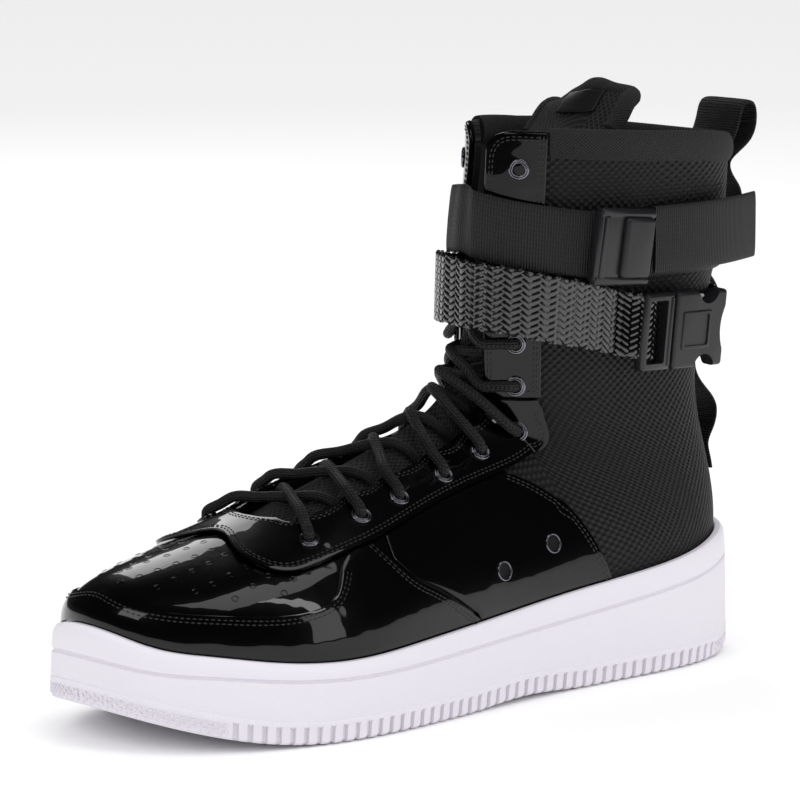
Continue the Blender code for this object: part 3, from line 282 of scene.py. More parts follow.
def shaft_point(side, angle, height, out=0.0):
    """Point on the shaft. The angle runs from 0 at the back to pi at the front."""
    back, outer, inner, width = SHAFT_SIZES(min(max(height, -0.2), 1.1))
    half = width * SHAFT_HALF_WIDTH
    front = outer if side > 0 else inner
    edge = flap_angle(side, half)
    if angle > edge:
        share = (angle - edge) / (math.pi - edge)
        front += ((outer + inner) / 2 - front) * share * share * (3 - 2 * share)
    inner_front = side < 0 and math.cos(angle) < 0
    roundness = INNER_FRONT_ROUNDNESS if inner_front else SHAFT_ROUNDNESS
    sine = math.copysign(abs(math.sin(angle)) ** roundness, math.sin(angle))
    cosine = abs(math.cos(angle)) ** roundness
    reach = (SHAFT_CENTRE - back) if math.cos(angle) > 0 else -(front - SHAFT_CENTRE)
    x = side * (half + out) * sine
    y = y_at(SHAFT_CENTRE) + (reach * SOLE_LENGTH + math.copysign(out, reach)) * cosine
    fall = COLLAR_FALL * ((1 + math.cos(angle)) / 2) ** 1.5
    z = BEND_HEIGHT + height * (COLLAR_HEIGHT - fall - BEND_HEIGHT)
    return np.array([x, y, z])


def shaft_surface(side, share, height):
    """Point on the shaft at a share of the way from the back to its front edge."""
    half = SHAFT_SIZES(height)[3] * SHAFT_HALF_WIDTH
    return shaft_point(side, share * flap_angle(side, half), height)


def rib_table():
    """Rows along the throat from the outer bend past the toe to the inner bend."""
    rows = []
    for side, along, x, throat, height, rise, reach, drop in RIBS:
        turn = turn_of(along) if side > 0 else 2 * math.pi - turn_of(along)
        point = (x * BALL_HALF_WIDTH, y_at(throat), height * BEND_HEIGHT)
        rows.append((turn, *point, rise, reach, drop))
    bend_turn = turn_of(BEND_ALONG)
    rows.insert(0, (bend_turn, *shaft_surface(+1, 1.0, 0.0), *BEND_RIB))
    rows.append((2 * math.pi - bend_turn, *shaft_surface(-1, 1.0, 0.0), *BEND_RIB))
    return rows


RIB_ROWS = rib_table()
FOOT_RIB = spline([r[0] for r in RIB_ROWS], [r[1:] for r in RIB_ROWS])


@functools.lru_cache(maxsize=None)
def rib_at(girth):
    """Rim point, throat or bend point and the handles of the rib at a girth value.

    The girth runs 0 to 1 from the heel along the outer side to the bend, 1 to 3
    round the toe to the inner bend and 3 to 4 back to the heel.
    """
    bend_turn = turn_of(BEND_ALONG)
    if 1 < girth < 3:
        turn = bend_turn + (girth - 1) / 2 * (2 * math.pi - 2 * bend_turn)
        row = FOOT_RIB(turn)
        top = row[:3]
        rise, reach, drop = row[3:]
    else:
        side = 1 if girth <= 1 else -1
        share = girth if side > 0 else 4 - girth
        turn = share * bend_turn if side > 0 else 2 * math.pi - share * bend_turn
        top = shaft_surface(side, share, 0.0)
        blend = max(0.0, (share - 0.45) / 0.55) ** 2
        rise, reach, drop = (s + (b - s) * blend for s, b in zip(SHAFT_RIB, BEND_RIB))
    rim, normal = outline_point(turn, RIM_THICKNESS + GAP)
    base = np.array([rim[0], rim[1], rim_height(along_of(turn))])
    outward = base[:2] - top[:2]
    length = np.linalg.norm(outward)
    direction = outward / length
    if not 1 < girth < 3:
        step = 0.01
        ahead = shaft_surface(side, share + step, 0.0)[:2]
        behind = shaft_surface(side, share - step, 0.0)[:2]
        ring = (behind - ahead) / np.linalg.norm(behind - ahead)
        weight = share ** 6
        direction = ring * (1 - weight) + direction * weight
    climb = top[2] - base[2]
    first = base + np.array([normal[0] * RIM_BULGE, normal[1] * RIM_BULGE, rise * climb])
    flat = direction * reach * length
    second = top + np.array([flat[0], flat[1], -drop * climb])
    return base, first, second, top


def surface(girth, rise):
    """Outer face of the upper. Rise runs 0 to 1 from rim to throat, 1 to 2 up the shaft."""
    girth = girth % 4
    if rise <= 1:
        base, first, second, top = rib_at(girth)
        t = max(rise, 0.0)
        point = ((1 - t) ** 3 * base + 3 * t * (1 - t) ** 2 * first
                 + 3 * t * t * (1 - t) * second + t ** 3 * top)
        return point
    side = 1 if girth <= 1.5 else -1
    share = girth if side > 0 else 4 - girth
    return shaft_surface(side, share, rise - 1)


def surface_normal(girth, rise):
    """Outward normal of the upper, from small steps that stay on one patch."""
    step = 0.004
    low = rise - step if rise > step else rise
    high = rise + step if (rise < 1 - step or rise > 1) else rise
    if rise == 1 and (girth <= 1 or girth >= 3):
        high = rise + step
    up = surface(girth, high) - surface(girth, low)
    behind = girth - step
    ahead = girth + step
    if rise > 1 and girth <= 1 < ahead:
        ahead = girth
    if rise > 1 and behind < 3 <= girth:
        behind = girth
    round_way = surface(ahead, rise) - surface(behind, rise)
    normal = np.cross(up, round_way)
    return normal / np.linalg.norm(normal)


def lifted(girth, rise, lift):
    return surface(girth, rise) + surface_normal(girth, rise) * lift


# Lower edge of the eyestay, from its rear corner to the toe: girth, rise
EYESTAY_EDGE = [
    (0.82, 0.900), (0.86, 0.760), (0.94, 0.660), (1.03, 0.625), (1.14, 0.665), (1.26, 0.650),
    (1.36, 0.605), (1.43, 0.605), (1.49, 0.575), (1.56, 0.545), (1.64, 0.640), (1.78, 0.800),
    (1.90, 0.860), (2.00, 0.875),
]
# Front edge of the toe overlay, round the toe panel
PANEL_EDGE = [
    (1.45, 0.400), (1.47, 0.310), (1.53, 0.262), (1.61, 0.245), (1.70, 0.238), (1.79, 0.228),
    (1.86, 0.210), (1.92, 0.222), (2.00, 0.262),
]
# Rear seams of the toe overlay and of the quarter overlay
TOE_SEAM = [(1.20, 0.015), (1.24, 0.120), (1.27, 0.195), (1.32, 0.305), (1.35, 0.460), (1.37, 0.600)]
QUARTER_SEAM = [
    (0.92, 0.015), (0.935, 0.090), (0.95, 0.180), (0.975, 0.310), (1.01, 0.410), (1.04, 0.520),
    (1.08, 0.630),
]
SEAM_GAP = 0.020
RIM_CLEAR = 0.012
SHAFT_EYESTAY_REAR = 0.815
BINDING_LOW = 1.93
# Eyelets of one row, from the toe up: girth, rise
EYELETS = [
    (1.49, 0.76), (1.37, 0.78), (1.30, 0.78), (1.21, 0.78), (1.11, 0.80), (0.99, 0.76),
    (0.89, 1.05), (0.89, 1.21), (0.89, 1.375), (0.89, 1.54), (0.89, 1.70), (0.89, 1.86),
]
VENTS = [(1.15, 0.20), (1.05, 0.24)]
BEND_EYELET = 6
# Extra height of the eyelet at the bend: outer side, inner side
BEND_EYELET_LIFT = {1: 0.0034, -1: 0.0014}


def table_value(table, x):
    return float(np.interp(x, [row[0] for row in table], [row[1] for row in table]))


def near_girth(girth):
    """The same place on the outer side, for a girth on either side."""
    return girth if girth <= 2 else 4 - girth


def eyestay_edge(girth):
    return table_value(EYESTAY_EDGE, near_girth(girth))


def toe_overlay_top(girth):
    near = near_girth(girth)
    if near < 1.37:
        return table_value(TOE_SEAM, near)
    if near < 1.45:
        return eyestay_edge(near) - SEAM_GAP
    return table_value(PANEL_EDGE, near)


def quarter_low(girth):
    near = near_girth(girth)
    return max(RIM_CLEAR, table_value(TOE_SEAM, near) + SEAM_GAP) if near > 1.20 else RIM_CLEAR


def quarter_high(girth):
    near = near_girth(girth)
    seam = table_value(QUARTER_SEAM, near) if near < 1.08 else 1.0
    return min(seam, eyestay_edge(near) - SEAM_GAP)


def mirrored(girths):
    return sorted(4 - g for g in girths)


# Middle line of the tongue's outer face: place along the throat, distance from the heel
# as a share of the sole length, height as a share of the collar's
TONGUE_RIDGE = [
    (0.40, 0.733, 0.337), (0.52, 0.705, 0.357), (0.64, 0.643, 0.394), (0.76, 0.540, 0.449),
    (0.87, 0.478, 0.490), (0.96, 0.448, 0.525), (1.05, 0.430, 0.560), (1.15, 0.417, 0.605),
    (1.28, 0.406, 0.664), (1.42, 0.399, 0.727), (1.60, 0.392, 0.800),
]
# The free top, which leans back: height from bend to peak, distance from the heel as a
# share of the sole length, half width as a share of the shaft's
TONGUE_TOP = [
    (0.565, 0.347, 0.50), (0.720, 0.303, 0.56), (0.850, 0.252, 0.58), (0.930, 0.224, 0.55),
]
TONGUE_TILT = 0.10
# Extra depth of the tongue's edges behind the eyestay where the throat bends
BEND_CLEARANCE = 0.0045


def throat_edge(side, place):
    """Point of the throat's edge. Place runs 0 at the toe to 1 at the bend, 2 at the collar."""
    if place <= 1:
        return surface(2 - side * place, 1.0)
    return shaft_surface(side, 1.0, place - 1)


def under_edge(side, place, inset, depth):
    """Point under the eyestay on the inside of the upper, a little behind the throat's edge."""
    drop = -(UPPER_WALL + depth + BEND_CLEARANCE * math.exp(-((place - 0.98) / 0.12) ** 2))
    if place <= 1:
        return lifted(2 - side * place, 1.0 - inset, drop)
    girth = 1.0 - inset if side > 0 else 3.0 + inset
    return lifted(girth, place, drop)


RIDGE_LINE = spline([r[0] for r in TONGUE_RIDGE], [r[1:] for r in TONGUE_RIDGE])


def ridge_point(place):
    """Point on the middle line of the tongue's outer face."""
    along, height = RIDGE_LINE(place)
    middle = (throat_edge(1, place) + throat_edge(-1, place)) / 2
    return np.array([middle[0], y_at(along), height * COLLAR_HEIGHT])


def tongue_front(place):
    """Unit vector out of the tongue's middle at a place along the throat."""
    along = ridge_point(place + 0.02) - ridge_point(place - 0.02)
    out = np.cross([1.0, 0.0, 0.0], along)
    return out / np.linalg.norm(out)


def tongue_section(place):
    """Outer face of the tongue across the throat, from the outer edge (-1) to the inner (1)."""
    left = under_edge(1, place, 0.13, 3 * GAP)
    left_edge = under_edge(1, place, 0.03, 6 * GAP)
    right_edge = under_edge(-1, place, 0.03, 6 * GAP)
    right = under_edge(-1, place, 0.13, 3 * GAP)
    arch = spline((-0.55, 0.0, 0.55), (left_edge, ridge_point(place), right_edge))

    def point(across):
        if across < -0.55:
            return left + (left_edge - left) * (across + 1.0) / 0.45
        if across > 0.55:
            return right + (right_edge - right) * (1.0 - across) / 0.45
        return np.array(arch(across))

    return point


def tongue_free_section(height, along, width):
    """Section of the free top: a shallow arc that leans back inside the collar."""
    half = width * SHAFT_HALF_WIDTH
    z = BEND_HEIGHT + height * (TONGUE_PEAK - BEND_HEIGHT)
    rows = []
    for across in (-1.0, -0.5, 0.0, 0.5, 1.0):
        sag = (across * across) * half * 0.30
        x = -across * half - TONGUE_TILT * SHAFT_HALF_WIDTH
        rows.append((x, y_at(along) + sag, z - across * TONGUE_TILT * half))
    return spline((-1.0, -0.5, 0.0, 0.5, 1.0), rows)


# How far each run goes past the middle: share of the way to the next eyelet, reach
# across the tongue, extra height over it where the next runs crowd at the bend
LACE_ENDS = [
    (0.85, 0.36, 0.0), (0.85, 0.36, 0.0), (0.85, 0.36, 0.0003), (0.85, 0.36, 0.0011),
    (0.60, 0.24, 0.0022), (0.75, 0.26, 0.0026), (0.60, 0.30, 0.0006), (0.80, 0.34, 0.0003),
]


def lace_path(side, number):
    """Route of one lace run, out of an eyelet, over the tongue, to under the far edge."""
    radius = LACE_DIAMETER / 2
    girth, rise = EYELETS[number]
    next_girth, next_rise = EYELETS[number + 1]
    start_place = 2 - girth if rise < 1 else rise
    stop_place = 2 - next_girth if next_rise < 1 else next_rise
    high = EYESTAY_GAP + EYESTAY_THICKNESS + GAP + radius
    if number + 1 == BEND_EYELET:
        high += BEND_EYELET_LIFT[side]
    elif number + 2 == BEND_EYELET:
        high += 2 * GAP
    if start_place <= 1:
        edge = lifted(2 - side * start_place, 0.97, high + GAP)
    else:
        edge = lifted(0.99 if side > 0 else 3.01, start_place, high + GAP)
    eyelet = girth if side > 0 else 4 - girth
    ring = lifted(eyelet, rise, high)
    reach = (EYELET_RADIUS + radius + GAP) / np.linalg.norm(edge - ring)
    stop_share, stop_across, extra = LACE_ENDS[number]
    over = radius + 2 * GAP + extra
    middle_place = (start_place + stop_place) / 2
    middle = ridge_point(middle_place) + tongue_front(middle_place) * over
    points = [ring + (edge - ring) * min(reach, 0.8), edge]
    for share in (0.2, 0.35):
        place = start_place + (stop_place - start_place) * share
        front = tongue_front(place)
        low = tongue_section(place)(side * (share - 0.5) * 1.1) + front * over
        straight = edge + (middle - edge) * share * 2
        lower = float(np.dot(low - straight, front))
        points.append(straight + front * max(0.0, lower))
    points.append(middle)
    for share, across in ((0.5 + 0.5 * (stop_share - 0.5), stop_across / 2), (stop_share, stop_across)):
        place = start_place + (stop_place - start_place) * share
        points.append(tongue_section(place)(side * across) + tongue_front(place) * over)
    spaced = points[:1]
    for point in points[1:]:
        if np.linalg.norm(point - spaced[-1]) > LACE_DIAMETER * 0.6:
            spaced.append(point)
    return spaced


# Height of a strap's middle above the bend, as shares of the shaft: the angle round
# the leg runs from 0 at the back to 180 at the front, negative on the inner side
WEBBING_ROUTE = [
    (-180, 0.667), (-150, 0.638), (-90, 0.595), (-40, 0.596), (0, 0.600), (60, 0.580),
    (95, 0.572), (120, 0.587), (150, 0.622), (180, 0.667),
]
BRAID_ROUTE = [
    (-180, 0.405), (-150, 0.390), (-90, 0.318), (-40, 0.268), (0, 0.250), (40, 0.240),
    (60, 0.236), (90, 0.240), (120, 0.322), (150, 0.380), (180, 0.405),
]
STRAP_SEAT = 0.0009
WEBBING_FRONT = 0.0046
BRAID_FRONT = 0.0084


def strap_place(route, degrees, offset, front_offset, lift):
    """Point on a strap's line round the leg, raised by the lift."""
    side = 1 if degrees >= 0 else -1
    angle = math.radians(abs(degrees))
    front = max(0.0, (abs(degrees) - 100) / 80)
    front = front * front * (3 - 2 * front)
    middle = table_value(route, degrees)
    height = middle + lift / (COLLAR_HEIGHT - BEND_HEIGHT)
    eyelets = EYESTAY_THICKNESS + EYELET_HEIGHT + 2 * GAP
    rise = min(1.0, max(0.0, (abs(degrees) - 100) / 30))
    out = offset + eyelets * rise + max(0.0, front_offset - eyelets) * front
    return shaft_point(side, angle, height, out)


def smooth_path(points, count):
    knots = [0.0]
    for a, b in zip(points, points[1:]):
        knots.append(knots[-1] + float(np.linalg.norm(np.subtract(b, a))))
    line = spline(knots, points)
    return [np.array(line(knots[-1] * i / count)) for i in range(count + 1)]


# Free end of the webbing behind its buckle: across as a share of the shaft's half
# width, place from the heel as a share of the sole length
TAIL = [(1.120, 0.232), (1.110, 0.160), (1.000, 0.090), (0.780, 0.015)]
# Webbing down the heel, from the loop's inner leg: place from the heel as a share of the
# sole length, height as a share of the shaft from bend (0) to collar (1)
HEEL_STRIP = [
    (0.0055, 0.745), (0.0050, 0.815), (-0.0100, 0.890), (-0.0210, 0.965), (-0.0300, 1.020),
    (-0.0420, 1.025), (-0.0500, 0.965), (-0.0420, 0.890), (-0.0150, 0.830), (-0.0035, 0.795),
    (-0.0090, 0.745), (-0.0225, 0.690), (-0.0230, 0.615), (-0.0080, 0.530), (0.0080, 0.460),
    (0.0200, 0.415), (0.0320, 0.383), (0.0250, 0.350), (0.0130, 0.280), (0.0110, 0.200),
    (0.0260, 0.115), (0.0550, 0.055), (0.0560, 0.030), (0.0400, -0.060), (0.0170, -0.150),
    (0.0210, -0.225), (0.0310, -0.290), (0.0275, -0.340), (0.0235, -0.390),
]


def shaft_height(share):
    return BEND_HEIGHT + share * (COLLAR_HEIGHT - BEND_HEIGHT)


def buckle_frame(route, degrees, lift):
    """Matrix on the outer side of the leg: X forward along the strap, Z outwards."""
    here = strap_place(route, degrees, lift, 0.0, 0.0)
    ahead = strap_place(route, degrees + 6, lift, 0.0, 0.0)
    behind = strap_place(route, degrees - 6, lift, 0.0, 0.0)
    forward = Vector(ahead - behind).normalized()
    above = strap_place(route, degrees, lift, 0.0, STRAP_WIDTH / 2)
    below = strap_place(route, degrees, lift, 0.0, -STRAP_WIDTH / 2)
    out = Vector(above - below).cross(forward).normalized()
    if out.x < 0:
        out = -out
    up = out.cross(forward).normalized()
    turn = Matrix((forward, up, out)).transposed().to_4x4()
    return Matrix.Translation(Vector(here)) @ turn


# Modelling helpers


def pick(item):
    bpy.ops.object.select_all(action="DESELECT")
    item.select_set(True)
    bpy.context.view_layer.objects.active = item


def finish_with(item, kind, **settings):
    """Add a modifier as by hand and apply it."""
    pick(item)
    bpy.ops.object.modifier_add(type=kind)
    modifier = item.modifiers[-1]
    for name, value in settings.items():
        setattr(modifier, name, value)
    bpy.ops.object.modifier_apply(modifier=modifier.name)
    return item


def edit(item, *steps):
    """Run edit mode steps on the whole mesh."""
    pick(item)
    bpy.ops.object.mode_set(mode="EDIT")
    for step in steps:
        bpy.ops.mesh.select_all(action="SELECT")
        step()
    bpy.ops.object.mode_set(mode="OBJECT")
    return item


def weld():
    bpy.ops.mesh.remove_doubles(threshold=2e-6)


def face_outwards():
    bpy.ops.mesh.normals_make_consistent(inside=False)


def flip():
    bpy.ops.mesh.flip_normals()


def fill_ends():
    """Close the open loops of a mesh with flat faces."""
    bpy.ops.mesh.select_all(action="DESELECT")
    bpy.ops.mesh.select_mode(type="EDGE")
    bpy.ops.mesh.select_non_manifold(extend=False)
    bpy.ops.mesh.fill(use_beauty=True)


def laid_grid(name, columns, rows, place, slot_of=None, base_row=None):
    """A grid primitive whose points are moved to place(s, t), with a UV map in metres.

    The map's first length runs along the base row and its second one up from it.
    """
    bpy.ops.object.select_all(action="DESELECT")
    bpy.ops.mesh.primitive_grid_add(x_subdivisions=columns, y_subdivisions=rows, size=1.0)
    item = bpy.context.object
    item.name = name
    item.data.name = name
    mesh = item.data
    flat = np.empty(len(mesh.vertices) * 3)
    mesh.vertices.foreach_get("co", flat)
    flat = flat.reshape(-1, 3)
    column = np.rint((flat[:, 0] + 0.5) * columns).astype(int)
    row = np.rint((flat[:, 1] + 0.5) * rows).astype(int)
    grid = np.zeros((columns + 1, rows + 1, 3))
    for i in range(columns + 1):
        for j in range(rows + 1):
            grid[i, j] = place(i / columns, j / rows)
    mesh.vertices.foreach_set("co", grid[column, row].ravel())
    middle = grid[:, rows // 2 if base_row is None else base_row]
    across = np.concatenate([[0.0], np.cumsum(np.linalg.norm(np.diff(middle, axis=0), axis=1))])
    steps = np.linalg.norm(np.diff(grid, axis=1), axis=2)
    up = np.concatenate([np.zeros((columns + 1, 1)), np.cumsum(steps, axis=1)], axis=1)
    loops = np.empty(len(mesh.loops), int)
    mesh.loops.foreach_get("vertex_index", loops)
    if base_row is not None:
        up = up - up[:, base_row:base_row + 1]
    where = np.stack([across[column[loops]], up[column[loops], row[loops]]], axis=1)
    mesh.uv_layers[0].data.foreach_set("uv", where.ravel())
    if slot_of:
        for face in mesh.polygons:
            corners = list(face.vertices)
            s = column[corners].mean() / columns
            t = row[corners].mean() / rows
            face.material_index = slot_of(s, t)
    mesh.update()
    return item


def laid_on(item, girth, rise):
    """True if the faces of a sheet point away from the upper."""
    out = Vector(surface_normal(girth, rise))
    spot = Vector(surface(girth, rise))
    nearest = min(item.data.polygons, key=lambda face: (face.center - spot).length_squared)
    return nearest.normal.dot(out) > 0


def smooth(item, degrees=40):
    pick(item)
    bpy.ops.object.shade_smooth_by_angle(angle=math.radians(degrees))
    return item


def dress(item, *materials):
    """Give a piece its materials, keeping which slot each face uses."""
    used = [face.material_index for face in item.data.polygons]
    item.data.materials.clear()
    for material in materials:
        item.data.materials.append(material)
    item.data.polygons.foreach_set("material_index", used)
    return item


def place_in(item, slot, *nodes):
    """Carry the piece on the boot's one body and hide the solids that it stands for."""
    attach(item, BODY)
    if nodes:
        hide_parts(*nodes)
    return item


def joined(name, items):
    bpy.ops.object.select_all(action="DESELECT")
    for item in items:
        item.select_set(True)
    bpy.context.view_layer.objects.active = items[0]
    bpy.ops.object.join()
    item = bpy.context.object
    item.name = name
    item.data.name = name
    return item


def still(item):
    """Bake the object's own place into its mesh."""
    pick(item)
    bpy.ops.object.transform_apply(location=True, rotation=True, scale=True)
    return item


def copies(name, model, places):
    """One mesh made of a model's copies at the given matrices; the model is removed."""
    count = len(model.data.vertices)
    points = np.empty(count * 3)
    model.data.vertices.foreach_get("co", points)
    points = points.reshape(-1, 3)
    faces = [tuple(face.vertices) for face in model.data.polygons]
    smooth_faces = [face.use_smooth for face in model.data.polygons]
    slots = [face.material_index for face in model.data.polygons]
    all_points = []
    all_faces = []
    for k, matrix in enumerate(places):
        turn = np.array(matrix)
        all_points.append(points @ turn[:3, :3].T + turn[:3, 3])
        all_faces += [tuple(v + k * count for v in face) for face in faces]
    mesh = bpy.data.meshes.new(name)
    mesh.from_pydata(np.concatenate(all_points).tolist(), [], all_faces)
    mesh.polygons.foreach_set("use_smooth", smooth_faces * len(places))
    mesh.polygons.foreach_set("material_index", slots * len(places))
    for material in model.data.materials:
        mesh.materials.append(material)
    mesh.update()
    item = bpy.data.objects.new(name, mesh)
    bpy.context.scene.collection.objects.link(item)
    bpy.data.objects.remove(model, do_unlink=True)
    return item


def axes_matrix(place, forward, out):
    """Matrix with X forward and Z outwards at a place."""
    out = Vector(out).normalized()
    forward = Vector(forward)
    forward = (forward - out * forward.dot(out)).normalized()
    side = out.cross(forward)
    turn = Matrix((forward, side, out)).transposed().to_4x4()
    return Matrix.Translation(Vector(place)) @ turn


# Materials


def linear(text):
    """Linear colour of an sRGB hex value."""
    parts = [int(text[i:i + 2], 16) / 255 for i in (1, 3, 5)]
    return [p / 12.92 if p <= 0.04045 else ((p + 0.055) / 1.055) ** 2.4 for p in parts] + [1.0]


def add_node(tree, kind, settings=None, links=None):
    """A node with its settings and with links from other nodes' outputs."""
    made = tree.nodes.new(kind)
    for key, value in (settings or {}).items():
        if isinstance(key, int) or key in made.inputs:
            made.inputs[key].default_value = value
        else:
            setattr(made, key, value)
    for key, source in (links or {}).items():
        tree.links.new(source, made.inputs[key])
    return made


def start_material(name, colour, roughness, **sockets):
    """A Principled material and its tree. Sockets are given by their names with underscores."""
    material = bpy.data.materials.new(name)
    material.use_nodes = True
    tree = material.node_tree
    shader = tree.nodes["Principled BSDF"]
    shader.inputs["Base Color"].default_value = linear(colour)
    shader.inputs["Roughness"].default_value = roughness
    for key, value in sockets.items():
        shader.inputs[key.replace("_", " ")].default_value = value
    return material, tree, shader


def raise_by(tree, shader, height, distance, strength=1.0):
    bump = add_node(tree, "ShaderNodeBump", {"Distance": distance, "Strength": strength},
                    {"Height": height})
    tree.links.new(bump.outputs["Normal"], shader.inputs["Normal"])
    return bump


def wave(tree, source, pitch, kind="SINE"):
    """A sine of the given pitch in metres along one coordinate."""
    scaled = add_node(tree, "ShaderNodeMath", {"operation": "MULTIPLY", 1: 2 * math.pi / pitch},
                      {0: source})
    return add_node(tree, "ShaderNodeMath", {"operation": kind}, {0: scaled.outputs[0]}).outputs[0]


def combine(tree, operation, first, second):
    links = {0: first}
    settings = {"operation": operation}
    if isinstance(second, (int, float)):
        settings[1] = second
    else:
        links[1] = second
    return add_node(tree, "ShaderNodeMath", settings, links).outputs[0]


def surface_uv(tree):
    """The two lengths along a sheet, in metres."""
    uv = add_node(tree, "ShaderNodeUVMap")
    parts = add_node(tree, "ShaderNodeSeparateXYZ", {}, {0: uv.outputs[0]})
    return parts.outputs[0], parts.outputs[1]


def object_noise(tree, size, detail=2.0, roughness=0.5):
    """Noise whose lumps are about the given size in metres."""
    place = add_node(tree, "ShaderNodeTexCoord").outputs["Object"]
    return add_node(tree, "ShaderNodeTexNoise",
                    {"Scale": 1.0 / size, "Detail": detail, "Roughness": roughness},
                    {"Vector": place}).outputs[0]


def shade_between(tree, shader, mask, dark, light, low=0.0, high=1.0):
    """Base colour that runs from dark to light as the mask goes from low to high."""
    ramp = add_node(tree, "ShaderNodeValToRGB", {}, {0: mask})
    ramp.color_ramp.elements[0].position = low
    ramp.color_ramp.elements[0].color = linear(dark)
    ramp.color_ramp.elements[1].position = high
    ramp.color_ramp.elements[1].color = linear(light)
    tree.links.new(ramp.outputs[0], shader.inputs["Base Color"])


def moulded_rubber(name, grain, depth):
    """White injection-moulded rubber: satin, with the mould's fine pebble."""
    material, tree, shader = start_material(name, "#DEDAE2", 0.48, Specular_IOR_Level=0.35)
    shader.inputs["Subsurface Weight"].default_value = 0.04
    shader.inputs["Subsurface Radius"].default_value = (0.003, 0.003, 0.003)
    lumps = object_noise(tree, grain, 3.0, 0.6)
    raise_by(tree, shader, lumps, depth)
    return material


def patent_coat(name="patent_coat"):
    """Polyurethane-coated leather: jet black under a wet-looking clear coat, slightly wavy."""
    material, tree, shader = start_material(name, "#020203", 0.25, Specular_IOR_Level=0.05,
                                            Coat_Weight=1.0, Coat_Roughness=0.025, Coat_IOR=1.40)
    swell = object_noise(tree, 0.011, 1.0)
    bump = raise_by(tree, shader, swell, 0.0006, 0.30)
    tree.links.new(bump.outputs["Normal"], shader.inputs["Coat Normal"])
    return material


def ballistic_nylon(name="ballistic_nylon"):
    """Coarse plain-woven nylon: each thread shows as a small raised lump, a soft dot each; the lump tops are painted
    lighter as a painted highlight and the hollows between them darker as painted shade.
    """
    thread = 0.0017
    material, tree, shader = start_material(name, "#0A0A0B", 0.62, Specular_IOR_Level=0.35,
                                            Sheen_Weight=0.02, Sheen_Roughness=0.5)
    u, v = surface_uv(tree)
    lumps = combine(tree, "MULTIPLY", wave(tree, u, 2 * thread), wave(tree, v, thread * 1.7))
    # Painted highlight on each thread's top and painted shade in the hollows, taken from the bump's heights
    shade_between(tree, shader, lumps, "#030304", "#1D1C20", 0.05, 0.95)
    raise_by(tree, shader, lumps, 0.00035, 0.9)
    return material


def mesh_cloth(name="tongue_mesh"):
    """Spacer mesh of the tongue: small cells between threads, slanting; the threads are painted lighter as a painted
    highlight and the cells darker as painted shade.
    """
    cell = 0.0019
    material, tree, shader = start_material(name, "#0C0C0D", 0.7, Sheen_Weight=0.02)
    u, v = surface_uv(tree)
    first = wave(tree, combine(tree, "ADD", u, combine(tree, "MULTIPLY", v, 0.6)), cell)
    second = wave(tree, combine(tree, "SUBTRACT", u, combine(tree, "MULTIPLY", v, 0.6)), cell)
    cells = combine(tree, "MAXIMUM", first, second)
    # Painted highlight on the raised threads and painted shade in the cells, taken from the bump's heights
    shade_between(tree, shader, cells, "#020202", "#1F1E22", 0.1, 1.0)
    raise_by(tree, shader, cells, 0.0003)
    return material


def collar_knit(name="collar_knit"):
    """Fleecy knitted binding: tiny loops in rows with a fuzzy sheen; the raised loops and fuzz are painted lighter
    as a painted highlight, the dips darker as painted shade.
    """
    material, tree, shader = start_material(name, "#0B0B0C", 0.85, Sheen_Weight=0.04,
                                            Sheen_Roughness=0.6)
    u, v = surface_uv(tree)
    loops = combine(tree, "MULTIPLY", wave(tree, u, 0.0015), wave(tree, v, 0.0012))
    fuzz = object_noise(tree, 0.0009, 2.0, 0.7)
    height = combine(tree, "ADD", loops, fuzz)
    # Painted highlight on the raised loops and fuzz, painted shade in the dips, taken from the bump's heights
    shade_between(tree, shader, height, "#030304", "#1D1C20", 0.3, 1.3)
    raise_by(tree, shader, height, 0.0003, 0.8)
    return material


def ribbed_webbing(name="ribbed_webbing", rib=0.00105):
    """Polyester webbing: tight ribs across its length, each broken into threads; the rib tops are painted lighter as
    a painted highlight and the furrows darker as painted shade.
    """
    material, tree, shader = start_material(name, "#0A0A0B", 0.6, Sheen_Weight=0.02)
    u, v = surface_uv(tree)
    ribs = wave(tree, u, rib)
    threads = wave(tree, v, 0.0017)
    height = combine(tree, "ADD", combine(tree, "MULTIPLY", ribs, 0.75),
                     combine(tree, "MULTIPLY", combine(tree, "MULTIPLY", ribs, threads), 0.35))
    # Painted highlight on the rib tops and painted shade in the furrows, taken from the bump's heights
    shade_between(tree, shader, height, "#020202", "#222125", 0.0, 1.0)
    raise_by(tree, shader, height, 0.00025)
    return material


def round_braid(name="round_braid"):
    """Braided polyester cord: two sets of strands winding opposite ways; the raised strands are painted lighter as a
    painted highlight and the gaps darker as painted shade.
    """
    material, tree, shader = start_material(name, "#0A0A0B", 0.55, Sheen_Weight=0.02)
    u, v = surface_uv(tree)
    turn = combine(tree, "MULTIPLY", v, 0.62)
    first = wave(tree, combine(tree, "ADD", u, turn), 0.00209)
    second = wave(tree, combine(tree, "SUBTRACT", u, turn), 0.00209)
    strands = combine(tree, "MULTIPLY", first, second)
    # Painted highlight on the raised strands and painted shade in the gaps, taken from the bump's heights
    shade_between(tree, shader, strands, "#030303", "#222125", 0.0, 0.9)
    raise_by(tree, shader, strands, 0.00030)
    return material


def braid_strip(name="braid_strip"):
    """Flat glossy polyester strips of the braided strap, with a silky streak along each."""
    material, tree, shader = start_material(name, "#040405", 0.30, Specular_IOR_Level=0.6,
                                            Coat_Weight=1.0, Coat_Roughness=0.12, Coat_IOR=1.5)
    streak = object_noise(tree, 0.0006, 2.0, 0.6)
    raise_by(tree, shader, streak, 0.00010, 0.5)
    return material


